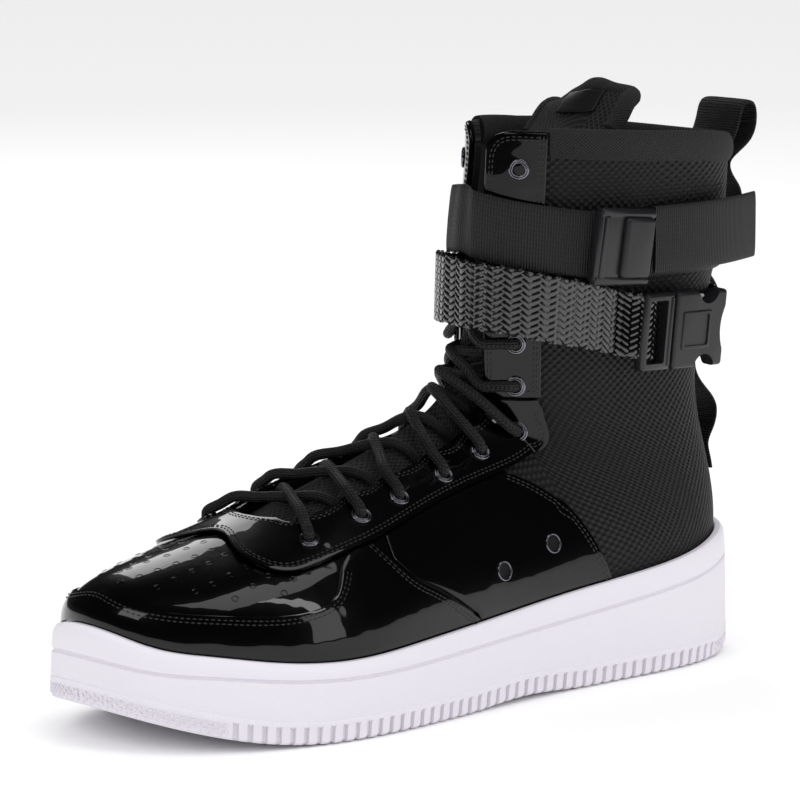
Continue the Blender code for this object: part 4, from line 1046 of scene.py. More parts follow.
def moulded_plastic(name="acetal_plastic", grain=0.0006):
    """Injection-moulded acetal with a spark-eroded grain."""
    material, tree, shader = start_material(name, "#1C1B1E", 0.42, Specular_IOR_Level=0.5)
    lumps = object_noise(tree, grain, 2.0, 0.7)
    shade_between(tree, shader, lumps, "#121114", "#201F23", 0.35, 0.7)
    raise_by(tree, shader, lumps, 0.00006, 0.7)
    return material


def smooth_plastic(name="smooth_plastic"):
    """The same acetal off a polished mould face."""
    material, tree, shader = start_material(name, "#18181B", 0.30, Specular_IOR_Level=0.5)
    raise_by(tree, shader, object_noise(tree, 0.0012), 0.00003, 0.5)
    return material


def black_nickel(name="black_nickel"):
    """Steel eyelets plated with dark nickel: glossy, slightly uneven."""
    material, tree, shader = start_material(name, "#77757C", 0.20, Metallic=1.0)
    raise_by(tree, shader, object_noise(tree, 0.0015), 0.00005, 0.5)
    return material


def painted_shadow(name="painted_shadow"):
    """Painted shadow: near-black and matte, for the shade inside an eyelet or a punched hole and under the braid's
    strips.
    """
    material, tree, shader = start_material(name, "#010101", 0.9, Specular_IOR_Level=0.1)
    raise_by(tree, shader, object_noise(tree, 0.001), 0.0001)
    return material


def sewing_thread(name="bonded_thread"):
    """Bonded nylon thread: black with a dull gleam on each stitch."""
    material, tree, shader = start_material(name, "#131315", 0.34, Specular_IOR_Level=0.7)
    raise_by(tree, shader, object_noise(tree, 0.0004), 0.00006)
    return material


def brushed_lining(name="brushed_lining"):
    """Brushed tricot that lines the collar and the foot."""
    material, tree, shader = start_material(name, "#0A0A0C", 0.9, Sheen_Weight=0.05)
    raise_by(tree, shader, object_noise(tree, 0.0008, 3.0, 0.7), 0.00015)
    return material


def satin_label(name="satin_label"):
    """Coated label cloth: smooth, dull black."""
    material, tree, shader = start_material(name, "#0C0C0E", 0.38)
    u, v = surface_uv(tree)
    raise_by(tree, shader, wave(tree, v, 0.0006), 0.00002)
    return material


def vent_gauze(name="vent_gauze"):
    """Fine wire gauze behind the vents."""
    material, tree, shader = start_material(name, "#101012", 0.45, Metallic=0.6)
    place = add_node(tree, "ShaderNodeTexCoord").outputs["Object"]
    parts = add_node(tree, "ShaderNodeSeparateXYZ", {}, {0: place})
    lines = combine(tree, "MULTIPLY", wave(tree, parts.outputs[1], 0.0009),
                    wave(tree, parts.outputs[2], 0.0009))
    shade_between(tree, shader, lines, "#050506", "#4A494D", 0.1, 0.9)
    raise_by(tree, shader, lines, 0.0002)
    return material


RIM_RUBBER = moulded_rubber("rim_rubber", 0.0030, 0.00003)
PEBBLED_RUBBER = moulded_rubber("pebbled_rubber", 0.0007, 0.00016)
PATENT = patent_coat()
NYLON = ballistic_nylon()
MESH_CLOTH = mesh_cloth()
KNIT = collar_knit()
WEBBING = ribbed_webbing()
CORD = round_braid()
STRIP = braid_strip()
GRAINY_PLASTIC = moulded_plastic()
SMOOTH_PLASTIC = smooth_plastic()
NICKEL = black_nickel()
# Painted shadow for holes, pits and the braid's core
SHADOW_PAINT = painted_shadow()
THREAD = sewing_thread()
LINING = brushed_lining()
LABEL = satin_label()
GAUZE = vent_gauze()


# Curves and sheets on the form


def rounded(points, passes=2):
    """Copy of a curve of girth and rise rows with its corners cut, its ends kept."""
    rows = np.array(points, float)
    for _ in range(passes):
        cut = [rows[0]]
        for a, b in zip(rows[:-1], rows[1:]):
            cut += [a * 0.75 + b * 0.25, a * 0.25 + b * 0.75]
        rows = np.array(cut + [rows[-1]])
    return rows


def mirrored_curve(points):
    """The outer side's curve followed by its mirror image on the inner side."""
    rows = [tuple(p) for p in points]
    back = [(4 - g, r) for g, r in reversed(rows)]
    if abs(rows[-1][0] - 2) < 1e-6:
        back = back[1:]
    return rows + back


def other_side(points):
    return [(4 - g, r) for g, r in reversed([tuple(p) for p in points])]


def walked(curve, step):
    """Rows at even steps along a curve on the form, and the step that fits."""
    rows = np.array(curve, float)
    fine = [np.linspace(a, b, 5, endpoint=False) for a, b in zip(rows[:-1], rows[1:])]
    fine = np.concatenate(fine + [rows[-1:]])
    spots = np.array([surface(g, r) for g, r in fine])
    length = np.concatenate([[0.0], np.cumsum(np.linalg.norm(np.diff(spots, axis=0), axis=1))])
    count = max(2, int(round(length[-1] / step)))
    at = np.linspace(0.0, length[-1], count + 1)
    return np.stack([np.interp(at, length, fine[:, k]) for k in (0, 1)], axis=1)


def beside(curve, distance):
    """The curve moved sideways on the form: towards the sole where the girth grows."""
    moved = []
    step = 0.004
    for k, (g, r) in enumerate(curve):
        before = curve[max(k - 1, 0)]
        after = curve[min(k + 1, len(curve) - 1)]
        side = np.cross(surface_normal(g, r), surface(*after) - surface(*before))
        side *= distance / np.linalg.norm(side)
        here = surface(g, r)
        up = step if (r < 1 - step or r >= 1) else -step
        by_girth = (surface(g - step, r) - here) / -step
        by_rise = (surface(g, r + up) - here) / up
        change = np.linalg.lstsq(np.stack([by_girth, by_rise], axis=1), side, rcond=None)[0]
        moved.append((g + change[0], r + change[1]))
    return moved


STITCH_PITCH = 0.0021
STITCH_LENGTH = 0.0016
THREAD_RADIUS = 0.00028
STITCH_PLACES = []


def sew(curve, lift, offsets=(0.0014, 0.0026)):
    """Rows of stitches beside a seam, kept for the one mesh of stitches."""
    for offset in offsets:
        rows = walked(beside(walked(curve, 0.004), offset), STITCH_PITCH)
        for a, b in zip(rows[:-1], rows[1:]):
            g, r = (a + b) / 2
            if 0.985 < r < 1.015 and (g < 1 or g > 3):
                continue
            place = lifted(g, r, lift)
            STITCH_PLACES.append(axes_matrix(place, surface(*b) - surface(*a), surface_normal(g, r)))


def overlay(name, edge, low, thickness, lift, step=0.0016, rows=14, edge_is_top=True, high=None):
    """Sheet on the upper between a sewn edge and another line, with rounded rims."""
    line = walked(edge, step)
    line = line[np.argsort(line[:, 0], kind="stable")]
    count = len(line) - 1

    def place(s, t):
        girth, rise = line[int(round(s * count))]
        if edge_is_top:
            bottom, top = low(girth), rise
        else:
            bottom, top = rise, high(girth)
        return lifted(girth % 4, bottom + (max(top, bottom + 1e-3) - bottom) * t, lift)

    sheet = laid_grid(name, count, rows, place)
    edit(sheet, flip)
    finish_with(sheet, "SOLIDIFY", thickness=thickness, offset=1.0, use_even_offset=False)
    finish_with(sheet, "BEVEL", width=thickness * 0.42, segments=2, limit_method="ANGLE",
                angle_limit=math.radians(50))
    return smooth(dress(sheet, PATENT), 60)


def tube(name, path, radius, steps, sides=12, flat=1.0):
    """Round cord along a smooth line through the points, closed at both ends."""
    knots = [0.0]
    for a, b in zip(path, path[1:]):
        knots.append(knots[-1] + float(np.linalg.norm(np.subtract(b, a))))
    line = spline(knots, path)
    spots = np.array([line(knots[-1] * k / steps) for k in range(steps + 1)])
    along = np.gradient(spots, axis=0)
    along /= np.linalg.norm(along, axis=1)[:, None]
    side = np.cross(along[0], [0.12, 0.3, 0.95])
    sides_of = []
    for direction in along:
        side = side - direction * np.dot(side, direction)
        side /= np.linalg.norm(side)
        sides_of.append(side)

    def place(s, t):
        k = int(round(t * steps))
        angle = 2 * math.pi * s
        other = np.cross(along[k], sides_of[k])
        end = min(1.0, 0.55 + 2.0 * min(k, steps - k) / 4)
        return spots[k] + radius * end * (sides_of[k] * math.cos(angle) + other * math.sin(angle) * flat)

    cord = laid_grid(name, sides, steps, place)
    edit(cord, weld, fill_ends, face_outwards)
    return smooth(cord, 60)


# The sole


SOLE_COLUMNS = 720
SIDE_LINE = 0.0088
STAR_PITCH = 0.0034


def sole_turns():
    """Turns round the outline, the same on both sides, with a pair at each wall of a slot."""
    slots = []
    travelled = 0.0
    last = None
    for step in range(4001):
        turn = turn_of(0.10 + 0.79 * step / 4000)
        place, normal = outline_point(turn)
        if last is not None:
            travelled += np.linalg.norm(place - last)
        last = place
        if travelled < SLOT_PITCH and step:
            continue
        travelled = 0.0
        speed = np.linalg.norm(outline_point(turn + 1e-3)[0] - outline_point(turn - 1e-3)[0]) / 2e-3
        slots.append((turn, SLOT_WIDTH / 2 / speed))
    turns = []
    for k in range(SOLE_COLUMNS // 4 + 1):
        turn = 4 * math.pi * k / SOLE_COLUMNS
        if all(abs(turn - centre) > half * 1.6 for centre, half in slots):
            turns.append((turn, 0.0))
    for centre, half in slots:
        turns += [(centre - half * 1.08, 0.0), (centre - half * 0.92, 1.0),
                  (centre + half * 0.92, 1.0), (centre + half * 1.08, 0.0)]
    turns.sort()
    return turns + [(2 * math.pi - turn, cut) for turn, cut in turns[-2:0:-1]]


def sole_profile(along, cut):
    """Inset and height of each row of the side, from the bottom edge to the cup floor."""
    floor = bottom_height(along)
    groove = groove_height(along)
    rim = rim_height(along)
    slot = SLOT_DEPTH * cut
    line = floor + SIDE_LINE
    return [
        (0.0038, floor), (0.0020 + slot, floor + 0.0003), (0.0010 + slot, floor + 0.0012),
        (0.0005 + slot, floor + SLOT_HEIGHT - 0.0006), (0.0002 + slot * 0.6, floor + SLOT_HEIGHT),
        (0.0000, floor + SLOT_HEIGHT + 0.0006), (0.0000, line - 0.0005), (0.0003, line - 0.0002),
        (0.0003, line + 0.0002), (0.0002, line + 0.0006),
        (0.0004, (line + groove) / 2), (0.0005, groove - 0.0013), (0.0006, groove - 0.0008),
        (0.0004 + GROOVE_DEPTH, groove - 0.0004), (0.0004 + GROOVE_DEPTH, groove + 0.0003),
        (0.0007, groove + 0.0008), (0.0006, groove + 0.0016), (0.0008, (groove + rim) / 2),
        (0.0012, rim - 0.0020), (0.0018, rim - 0.0008), (0.0026, rim - 0.0001), (0.0040, rim),
        (RIM_THICKNESS - 0.0004, rim - 0.0001), (RIM_THICKNESS, rim - 0.0006),
        (RIM_THICKNESS, cup_floor(along)),
    ]


def model_sole():
    turns = sole_turns()
    columns = [(turn, sole_profile(along_of(turn), cut)) for turn, cut in turns]
    columns.append(columns[0])
    last = len(columns) - 1
    rows = len(columns[0][1]) + 1

    def place(s, t):
        turn, profile = columns[int(round(s * last))]
        row = int(round(t * rows))
        inset, height = profile[min(max(row - 1, 0), rows - 2)]
        spot, _ = outline_point(turn, inset)
        if row in (0, rows):
            spot = (spot + outline_point(2 * math.pi - turn, inset)[0]) / 2
        return (spot[0], spot[1], height)

    sole = laid_grid("sole_cup", last, rows, place)
    edit(sole, weld, face_outwards)
    tread = []
    for start, stop in ((0.105, 0.30), (0.58, 0.755)):
        for k in range(int((stop - start) * SOLE_LENGTH / TREAD_PITCH) + 1):
            y = y_at(start) - (k + 0.5) * TREAD_PITCH
            bpy.ops.object.select_all(action="DESELECT")
            bpy.ops.mesh.primitive_cube_add(size=1.0, location=(0, y, 0))
            groove = bpy.context.object
            groove.scale = (BALL_HALF_WIDTH * 1.04, TREAD_WIDTH, 2 * TREAD_DEPTH)
            tread.append(still(groove))
    cutter = joined("tread", tread)
    finish_with(sole, "BOOLEAN", operation="DIFFERENCE", solver="EXACT", object=cutter)
    bpy.data.objects.remove(cutter, do_unlink=True)
    dress(sole, RIM_RUBBER, PEBBLED_RUBBER)
    for face in sole.data.polygons:
        middle = face.center
        along = min(max((HEEL_BEHIND_ORIGIN - middle.y) / SOLE_LENGTH, 0.0), 1.0)
        low = bottom_height(along) + SLOT_HEIGHT + 0.001
        if low < middle.z < groove_height(along) - 0.0010:
            face.material_index = 1
    return place_in(smooth(sole, 32), "white_rubber", "sole")


def model_stars():
    """Small raised three-armed studs round the toe and the back of the heel."""
    bpy.ops.object.select_all(action="DESELECT")
    bpy.ops.mesh.primitive_circle_add(vertices=6, radius=0.0011, fill_type="NGON")
    stud = bpy.context.object
    pick(stud)
    bpy.ops.object.mode_set(mode="EDIT")
    bpy.ops.mesh.select_all(action="SELECT")
    bpy.ops.mesh.extrude_region_move(TRANSFORM_OT_translate={"value": (0, 0, 0.00045)})
    bpy.ops.transform.resize(value=(0.55, 0.55, 1.0))
    bpy.ops.object.mode_set(mode="OBJECT")
    for point in stud.data.vertices:
        angle = math.atan2(point.co.y, point.co.x)
        if math.cos(1.5 * (angle - math.pi / 6)) ** 2 < 0.5:
            point.co.x *= 0.34
            point.co.y *= 0.34
    edit(stud, face_outwards)
    places = []
    for low, high in ((0.895, 1.0), (0.0, 0.093)):
        for side in (1, -1):
            travelled = 0.0
            last = None
            column = 0
            for step in range(3001):
                share = (low + (high - low) * step / 3000)
                if low == 0.0:
                    share = high - share
                turn = turn_of(min(max(share, 1e-6), 1 - 1e-6))
                turn = turn if side > 0 else 2 * math.pi - turn
                spot, normal = outline_point(turn)
                if last is not None:
                    travelled += np.linalg.norm(spot - last)
                last = spot
                if travelled < STAR_PITCH * 0.55:
                    continue
                travelled = 0.0
                column += 1
                for row in range(3):
                    height = 0.0019 + (row + 0.5 * (column % 2)) * 0.0023
                    if height > SLOT_HEIGHT + 0.0010:
                        continue
                    inset = 0.0010 if height < 0.003 else 0.0004
                    spot_in, _ = outline_point(turn, inset)
                    place = (spot_in[0], spot_in[1], bottom_height(share) + height)
                    out = (normal[0], normal[1], 0.0)
                    turned = axes_matrix(place, (-normal[1], normal[0], 0.0), out)
                    places.append(turned @ Matrix.Rotation(1.3 * (column + row), 4, "Z"))
    studs = copies("sole_studs", stud, places)
    return place_in(dress(studs, RIM_RUBBER), "white_rubber")


# The upper


# Where the shell turns from nylon to patent under the rear seams: rise, girth
PATENT_EDGE = [
    (0.00, 0.935), (0.18, 0.965), (0.31, 0.990), (0.41, 1.025), (0.52, 1.055), (0.63, 1.095),
    (0.66, 0.975), (0.76, 0.880), (0.90, 0.850), (1.00, 0.850),
]


def collar_top(girth):
    """Rise of the collar's edge, which falls off at its front corners."""
    share = max(0.0, (abs(girth) - 0.925) / 0.075)
    return 2.0 - 0.085 * (1 - math.sqrt(max(0.0, 1 - share * share)))


def model_upper():
    def foot(s, t):
        girth = -1 + 4 * s
        if t < 0.10:
            turn_girth = girth % 4
            base = lifted(turn_girth, 0.0, 0.0)
            low = cup_floor(min(max((HEEL_BEHIND_ORIGIN - base[1]) / SOLE_LENGTH, 0.0), 1.0)) + GAP
            return (base[0], base[1], low + (base[2] - low) * t / 0.10)
        return surface(girth % 4, (t - 0.10) / 0.90)

    def leg(s, t):
        girth = -1 + 2 * s
        top = collar_top(girth) - 1.0
        return surface(girth if girth >= 0 else 4 + girth, 1.0 + max(t, 1e-9) * top)

    def foot_slot(s, t):
        near = near_girth((-1 + 4 * s) % 4)
        return 1 if near > table_value(PATENT_EDGE, (t - 0.10) / 0.90) else 0

    lower = laid_grid("upper_shell", 320, 44, foot, slot_of=foot_slot, base_row=44)
    upper = laid_grid("upper_leg", 120, 34, leg, base_row=0)
    for sheet in (lower, upper):
        dress(sheet, NYLON, PATENT, LINING, LINING)
    shell = joined("upper_shell", [lower, upper])
    edit(shell, weld)
    if not laid_on(shell, 0.5, 1.5):
        edit(shell, flip)
    finish_with(shell, "SOLIDIFY", thickness=UPPER_WALL, offset=-1.0, use_even_offset=False,
                material_offset=2)
    return place_in(smooth(shell, 60), "woven_nylon", "upper")


OVERLAY_TOP = OVERLAY_GAP + OVERLAY_THICKNESS
EYESTAY_TOP = EYESTAY_GAP + EYESTAY_THICKNESS


def model_overlays():
    toe = mirrored_curve(TOE_SEAM + [(1.43, eyestay_edge(1.43) - SEAM_GAP)] + PANEL_EDGE)
    toe_line = rounded(toe, 2)
    piece = overlay("toe_mudguard", toe_line, lambda g: RIM_CLEAR, OVERLAY_THICKNESS, OVERLAY_GAP)
    place_in(piece, "patent_leather", "toe_overlay")
    sew(rounded(TOE_SEAM, 2), OVERLAY_TOP, (0.0014, 0.0027))
    sew(rounded(other_side(TOE_SEAM), 2), OVERLAY_TOP, (0.0014, 0.0027))
    panel = rounded(mirrored_curve([(1.437, 0.50)] + PANEL_EDGE), 2)
    sew(panel, OVERLAY_TOP, (0.0015, 0.0028))
    for side, name in ((1, "outer"), (-1, "inner")):
        top = QUARTER_SEAM + [(g, eyestay_edge(g) - SEAM_GAP) for g in (1.10, 1.14, 1.20, 1.26, 1.31, 1.345)]
        curve = top if side > 0 else other_side(top)
        piece = overlay("quarter_panel_" + name, rounded(curve, 2), quarter_low, OVERLAY_THICKNESS, OVERLAY_GAP)
        place_in(piece, "patent_leather", "quarter_" + name)
        seam = QUARTER_SEAM if side > 0 else other_side(QUARTER_SEAM)
        sew(rounded(seam, 2), OVERLAY_TOP, (0.0014, 0.0027))
    edge = rounded(mirrored_curve([(0.825, 0.930)] + EYESTAY_EDGE[1:]), 2)
    piece = overlay("eyestay_lower", edge, None, EYESTAY_THICKNESS, EYESTAY_GAP, edge_is_top=False,
                    high=throat_scallop)
    place_in(piece, "patent_leather", "lower_eyestay")
    sew(edge, EYESTAY_TOP, (-0.0018, -0.0031))
    throat = [(0.86 + 2.28 * k / 200, throat_scallop(0.86 + 2.28 * k / 200)) for k in range(201)]
    throat = [row for row in throat if 1.04 < row[0] < 2.96]
    sew(throat, EYESTAY_TOP, (0.0013, 0.0025))
    for side, name in ((1, "outer"), (-1, "inner")):
        rear, front = SHAFT_EYESTAY_REAR, 0.995

        def high(girth):
            return collar_top(near_girth(girth)) - 0.004

        line = [(rear + (front - rear) * k / 40, 1.004) for k in range(41)]
        line = line if side > 0 else other_side(line)
        strip = overlay("eyestay_leg_" + name, line, None, EYESTAY_THICKNESS, EYESTAY_GAP, step=0.0009,
                        rows=40, edge_is_top=False, high=high)
        place_in(strip, "patent_leather", "shaft_eyestay_" + name)
        back = [(rear, 1.03), (rear, 1.5), (rear, 1.93), (rear, 1.99)]
        fore = [(rear + 0.02, 1.994), (0.90, 1.994), (0.93, 1.993), (0.955, 1.982), (0.975, 1.962),
                (0.99, 1.92), (0.993, 1.5), (0.993, 1.03)]
        foot = [(rear + 0.01, 1.018), (0.985, 1.018)]
        if side > 0:
            sew(back, EYESTAY_TOP, (0.0016, 0.0029))
            sew(fore, EYESTAY_TOP, (0.0014, 0.0026))
            sew(foot, EYESTAY_TOP, (-0.0012,))
        else:
            sew(other_side(back), EYESTAY_TOP, (0.0016, 0.0029))
            sew(other_side(fore), EYESTAY_TOP, (0.0014, 0.0026))
            sew(other_side(foot), EYESTAY_TOP, (-0.0012,))


def throat_scallop(girth):
    """Throat edge of the lower eyestay, dipping between the eyelets."""
    near = near_girth(girth)
    if near < 0.995:
        return 0.9965
    rings = [g for g, r in EYELETS[:6]]
    nearest = min(abs(near - g) for g in rings)
    dip = 0.5 - 0.5 * math.cos(math.pi * min(1.0, nearest / 0.045))
    fade = min(1.0, (near - 0.995) / 0.03) if near < 1.52 else max(0.0, 1 - (near - 1.52) / 0.1)
    return 0.9965 - 0.0115 * fade - 0.045 * dip * fade


def fold_line(name, curve, radius, lift):
    """Thin folded ridge along an edge."""
    rows = walked(curve, 0.003)
    path = [lifted(g, r, lift) for g, r in rows]
    return dress(tube(name, path, radius, len(path) * 2, sides=6), PATENT)


def model_stitches():
    bpy.ops.object.select_all(action="DESELECT")
    bpy.ops.mesh.primitive_uv_sphere_add(segments=6, ring_count=4, radius=1.0, rotation=(0, math.pi / 2, 0))
    stitch = bpy.context.object
    stitch.scale = (THREAD_RADIUS, THREAD_RADIUS, STITCH_LENGTH / 2)
    still(stitch)
    smooth(stitch, 80)
    rows = copies("seam_stitches", stitch, STITCH_PLACES)
    return place_in(dress(rows, THREAD), "patent_leather")


# Holes punched in the toe panel, on the outer half: girth, rise
PUNCHED = [
    (1.76, 0.42), (1.73, 0.49), (1.70, 0.57), (1.67, 0.64), (1.66, 0.38), (1.63, 0.48), (1.60, 0.56),
    (1.56, 0.42), (1.54, 0.52), (1.86, 0.40), (1.84, 0.49), (1.82, 0.58), (1.80, 0.66), (1.78, 0.74),
    (1.98, 0.37), (1.95, 0.45), (1.93, 0.53), (1.91, 0.61), (1.89, 0.69), (1.87, 0.76),
]
PUNCHED_MIDDLE = [(2.04, 0.49), (2.03, 0.57), (2.01, 0.65), (2.00, 0.73), (1.99, 0.80)]
PUNCH_RADIUS = 0.00080


def model_punched_holes():
    """Pits with a pressed rim, in rows on the toe panel; the bottom of each pit is painted shadow."""
    bpy.ops.object.select_all(action="DESELECT")
    bpy.ops.mesh.primitive_circle_add(vertices=12, radius=PUNCH_RADIUS * 1.7, fill_type="NGON")
    pit = bpy.context.object
    pit.data.materials.append(PATENT)
    pit.data.materials.append(SHADOW_PAINT)
    bpy.ops.object.mode_set(mode="EDIT")
    bpy.ops.mesh.select_all(action="SELECT")
    bpy.ops.mesh.inset(thickness=PUNCH_RADIUS * 0.45, depth=0.00012)
    bpy.ops.mesh.inset(thickness=PUNCH_RADIUS * 0.25, depth=-0.0002)
    # The inner disc takes the painted shadow of the pit's inside
    bpy.context.object.active_material_index = 1
    bpy.ops.object.material_slot_assign()
    bpy.ops.object.mode_set(mode="OBJECT")
    smooth(pit, 50)
    places = []
    for girth, rise in PUNCHED + [(4 - g, r) for g, r in PUNCHED if g < 1.97] + PUNCHED_MIDDLE:
        out = surface_normal(girth, rise)
        places.append(axes_matrix(lifted(girth, rise, 0.00004), (1, 0.2, 0), out))
    holes = copies("toe_perforations", pit, places)
    return place_in(holes, "patent_leather")


def model_eyelets():
    """Rolled eyelets: a flange, a raised barrel edge inside it and the hole, filled with a disc of painted shadow.
    """
    parts = []
    for major, minor, height in ((0.00335, 0.00062, 0.00050), (0.00262, 0.00042, 0.00085)):
        bpy.ops.object.select_all(action="DESELECT")
        bpy.ops.mesh.primitive_torus_add(major_segments=28, minor_segments=8, major_radius=major,
                                         minor_radius=minor, location=(0, 0, height))
        parts.append(still(bpy.context.object))
    bpy.ops.object.select_all(action="DESELECT")
    bpy.ops.mesh.primitive_circle_add(vertices=28, radius=0.00395, fill_type="NGON", location=(0, 0, 0.0002))
    plate = still(bpy.context.object)
    bpy.ops.object.mode_set(mode="EDIT")
    bpy.ops.mesh.select_all(action="SELECT")
    bpy.ops.mesh.inset(thickness=0.0004, depth=0.0002)
    bpy.ops.mesh.inset(thickness=0.0010, depth=0.0)
    bpy.ops.mesh.inset(thickness=0.0002, depth=-0.0006)
    bpy.ops.object.mode_set(mode="OBJECT")
    for part in parts:
        part.data.materials.append(NICKEL)
    plate.data.materials.append(PATENT)
    plate.data.materials.append(SHADOW_PAINT)
    # Faces inside the barrel take the painted shadow of the hole
    for face in plate.data.polygons:
        if face.center.to_2d().length < 0.0024:
            face.material_index = 1
    model = joined("eyelet", [parts[0], parts[1], plate])
    smooth(model, 50)
    places = []
    for side in (1, -1):
        for girth, rise in EYELETS:
            at = girth if side > 0 else 4 - girth
            out = surface_normal(at, rise)
            places.append(axes_matrix(lifted(at, rise, EYESTAY_TOP - 0.0002), (0, 0.3, 1), out))
    rings = copies("eyelet_rings", model, places)
    nodes = [f"eyelet_{letter}_{n:02d}" for letter in ("outer", "inner") for n in range(1, 13)]
    return place_in(rings, "black_metal", *nodes)


def model_vents():
    bpy.ops.object.select_all(action="DESELECT")
    bpy.ops.mesh.primitive_torus_add(major_segments=32, minor_segments=8, major_radius=VENT_RADIUS - 0.0004,
                                     minor_radius=0.00045, location=(0, 0, 0.0001))
    ring = still(bpy.context.object)
    ring.data.materials.append(NICKEL)
    bpy.ops.object.select_all(action="DESELECT")
    bpy.ops.mesh.primitive_circle_add(vertices=32, radius=VENT_RADIUS - 0.0006, fill_type="NGON")
    gauze = bpy.context.object
    gauze.data.materials.append(GAUZE)
    model = joined("vent", [ring, gauze])
    smooth(model, 50)
    places = []
    for side in (1, -1):
        for girth, rise in VENTS:
            at = girth if side > 0 else 4 - girth
            places.append(axes_matrix(lifted(at, rise, OVERLAY_TOP + 0.0001), (0, 0.3, 1), surface_normal(at, rise)))
    vents = copies("vent_rings", model, places)
    return place_in(vents, "black_metal", "vent_outer_1", "vent_outer_2", "vent_inner_1", "vent_inner_2")


def model_binding():
    """Knit binding rolled over the collar's edge, from the outer face to the lining."""
    behind = SHAFT_EYESTAY_REAR - 0.004
    count = 150
    profile = 18

    def place(s, t):
        girth = -behind + 2 * behind * s
        at = girth % 4
        turn = 2 * math.pi * t
        top = surface(at, 2.0)
        out = surface_normal(at, 1.98)
        share = math.cos(turn)
        depth = UPPER_WALL / 2
        across = (UPPER_WALL / 2 + 0.0019) * math.sin(turn)
        fall = 0.0062
        height = fall * (share - 1) / 2 * 1.9 + 0.0014
        thin = 1.0 if share > -0.4 else 1.0 - 0.25 * (-0.4 - share) / 0.6
        return top - out * depth + out * across * thin + np.array([0, 0, height])

    band = laid_grid("collar_roll", count, profile, place)
    edit(band, weld, fill_ends, face_outwards)
    sew([(g % 4 if g >= 0 else 4 + g, 1.915) for g in np.linspace(-behind + 0.01, -0.002, 60)], 0.0001, (0.0,))
    sew([(g, 1.915) for g in np.linspace(0.002, behind - 0.01, 60)], 0.0001, (0.0,))
    return place_in(dress(smooth(band, 80), KNIT), "collar_knit", "collar_binding")


def sew_gusset():
    line = [(0.57, 1.72), (0.48, 1.76), (0.38, 1.785), (0.29, 1.80)]
    lower = [(g, r - 0.022) for g, r in line]
    for curve in (line, lower):
        sew(curve, 0.0001, (0.0,))
        sew(other_side(curve), 0.0001, (0.0,))


# The tongue


def tongue_rows():
    """Sections of the tongue from under the vamp to its peak, each a function of across."""
    drop = -(UPPER_WALL + 2 * GAP)
    rows = [lambda a: lifted(2 + 0.30 * a, 0.86, drop)]
    rows += [tongue_section(place) for place in (0.40, 0.52, 0.64, 0.76, 0.87, 0.96, 1.05, 1.15, 1.28, 1.42)]
    rows += [tongue_free_section(*row) for row in TONGUE_TOP]
    height, along, width = TONGUE_TOP[-1]
    end = tongue_free_section(1.0, along - 0.022, 0.9 * width)

    def peak(a):
        point = np.array(end(a))
        point[2] -= 0.42 * abs(a + 0.28) * (TONGUE_PEAK - BEND_HEIGHT) * 0.16
        return point

    return rows + [peak]


TONGUE_ROWS = tongue_rows()
TONGUE_STRIPS = {}


def tongue_face(across, share):
    """Point on the tongue's outer face: across -1 to 1, share 0 at the vamp to 1 at the peak."""
    key = round(across, 5)
    if key not in TONGUE_STRIPS:
        spots = [np.array(row(across)) for row in TONGUE_ROWS]
        TONGUE_STRIPS[key] = spline(range(len(spots)), spots)
    return np.array(TONGUE_STRIPS[key](share * (len(TONGUE_ROWS) - 1)))


def model_tongue():
    def place(s, t):
        return tongue_face(-1 + 2 * s, t)

    tongue = laid_grid("tongue_pad", 40, 110, place)
    middle = min(tongue.data.polygons, key=lambda f: (f.center - Vector(ridge_point(0.64))).length)
    if middle.normal.z < 0:
        edit(tongue, flip)
    finish_with(tongue, "SOLIDIFY", thickness=TONGUE_THICKNESS, offset=-1.0, use_even_offset=False)
    finish_with(tongue, "BEVEL", width=0.0020, segments=3, limit_method="ANGLE", angle_limit=math.radians(60))
    dress(smooth(tongue, 80), MESH_CLOTH)
    place_in(tongue, "woven_nylon", "tongue")
    path = []
    for share in (0.86, 0.90, 0.94, 0.97):
        path.append(tongue_face(-0.97, share))
    for across in (-0.95, -0.75, -0.5, -0.28, 0.0, 0.3, 0.6, 0.85, 0.97):
        path.append(tongue_face(across, 0.992))
    for share in (0.97, 0.94, 0.90, 0.86):
        path.append(tongue_face(0.97, share))
    knots = [0.0]
    for a, b in zip(path, path[1:]):
        knots.append(knots[-1] + float(np.linalg.norm(b - a)))
    backwards = np.cross(tongue_face(0.5, 0.95) - tongue_face(-0.5, 0.95),
                         tongue_face(0, 0.98) - tongue_face(0, 0.92))
    backwards *= 1.0 / np.linalg.norm(backwards)
    if backwards[1] < 0:
        backwards = -backwards
    middle_path = [p + backwards * TONGUE_THICKNESS / 2 for p in path]
    edge = tube("tongue_binding", middle_path, 0.0036, 90, sides=14)
    place_in(dress(edge, KNIT), "collar_knit")
    front = -backwards

    def label_place(s, t):
        across = -0.62 + 0.80 * s
        share = 0.895 + 0.070 * t
        return tongue_face(across, share) + front * 0.0006

    label = laid_grid("tongue_label", 16, 10, label_place)
    if label.data.polygons[0].normal.dot(Vector(front)) < 0:
        edit(label, flip)
    finish_with(label, "SOLIDIFY", thickness=0.0007, offset=1.0)
    finish_with(label, "BEVEL", width=0.0003, segments=2, limit_method="ANGLE", angle_limit=math.radians(50))
    place_in(dress(smooth(label, 50), LABEL), "woven_nylon")


# The laces


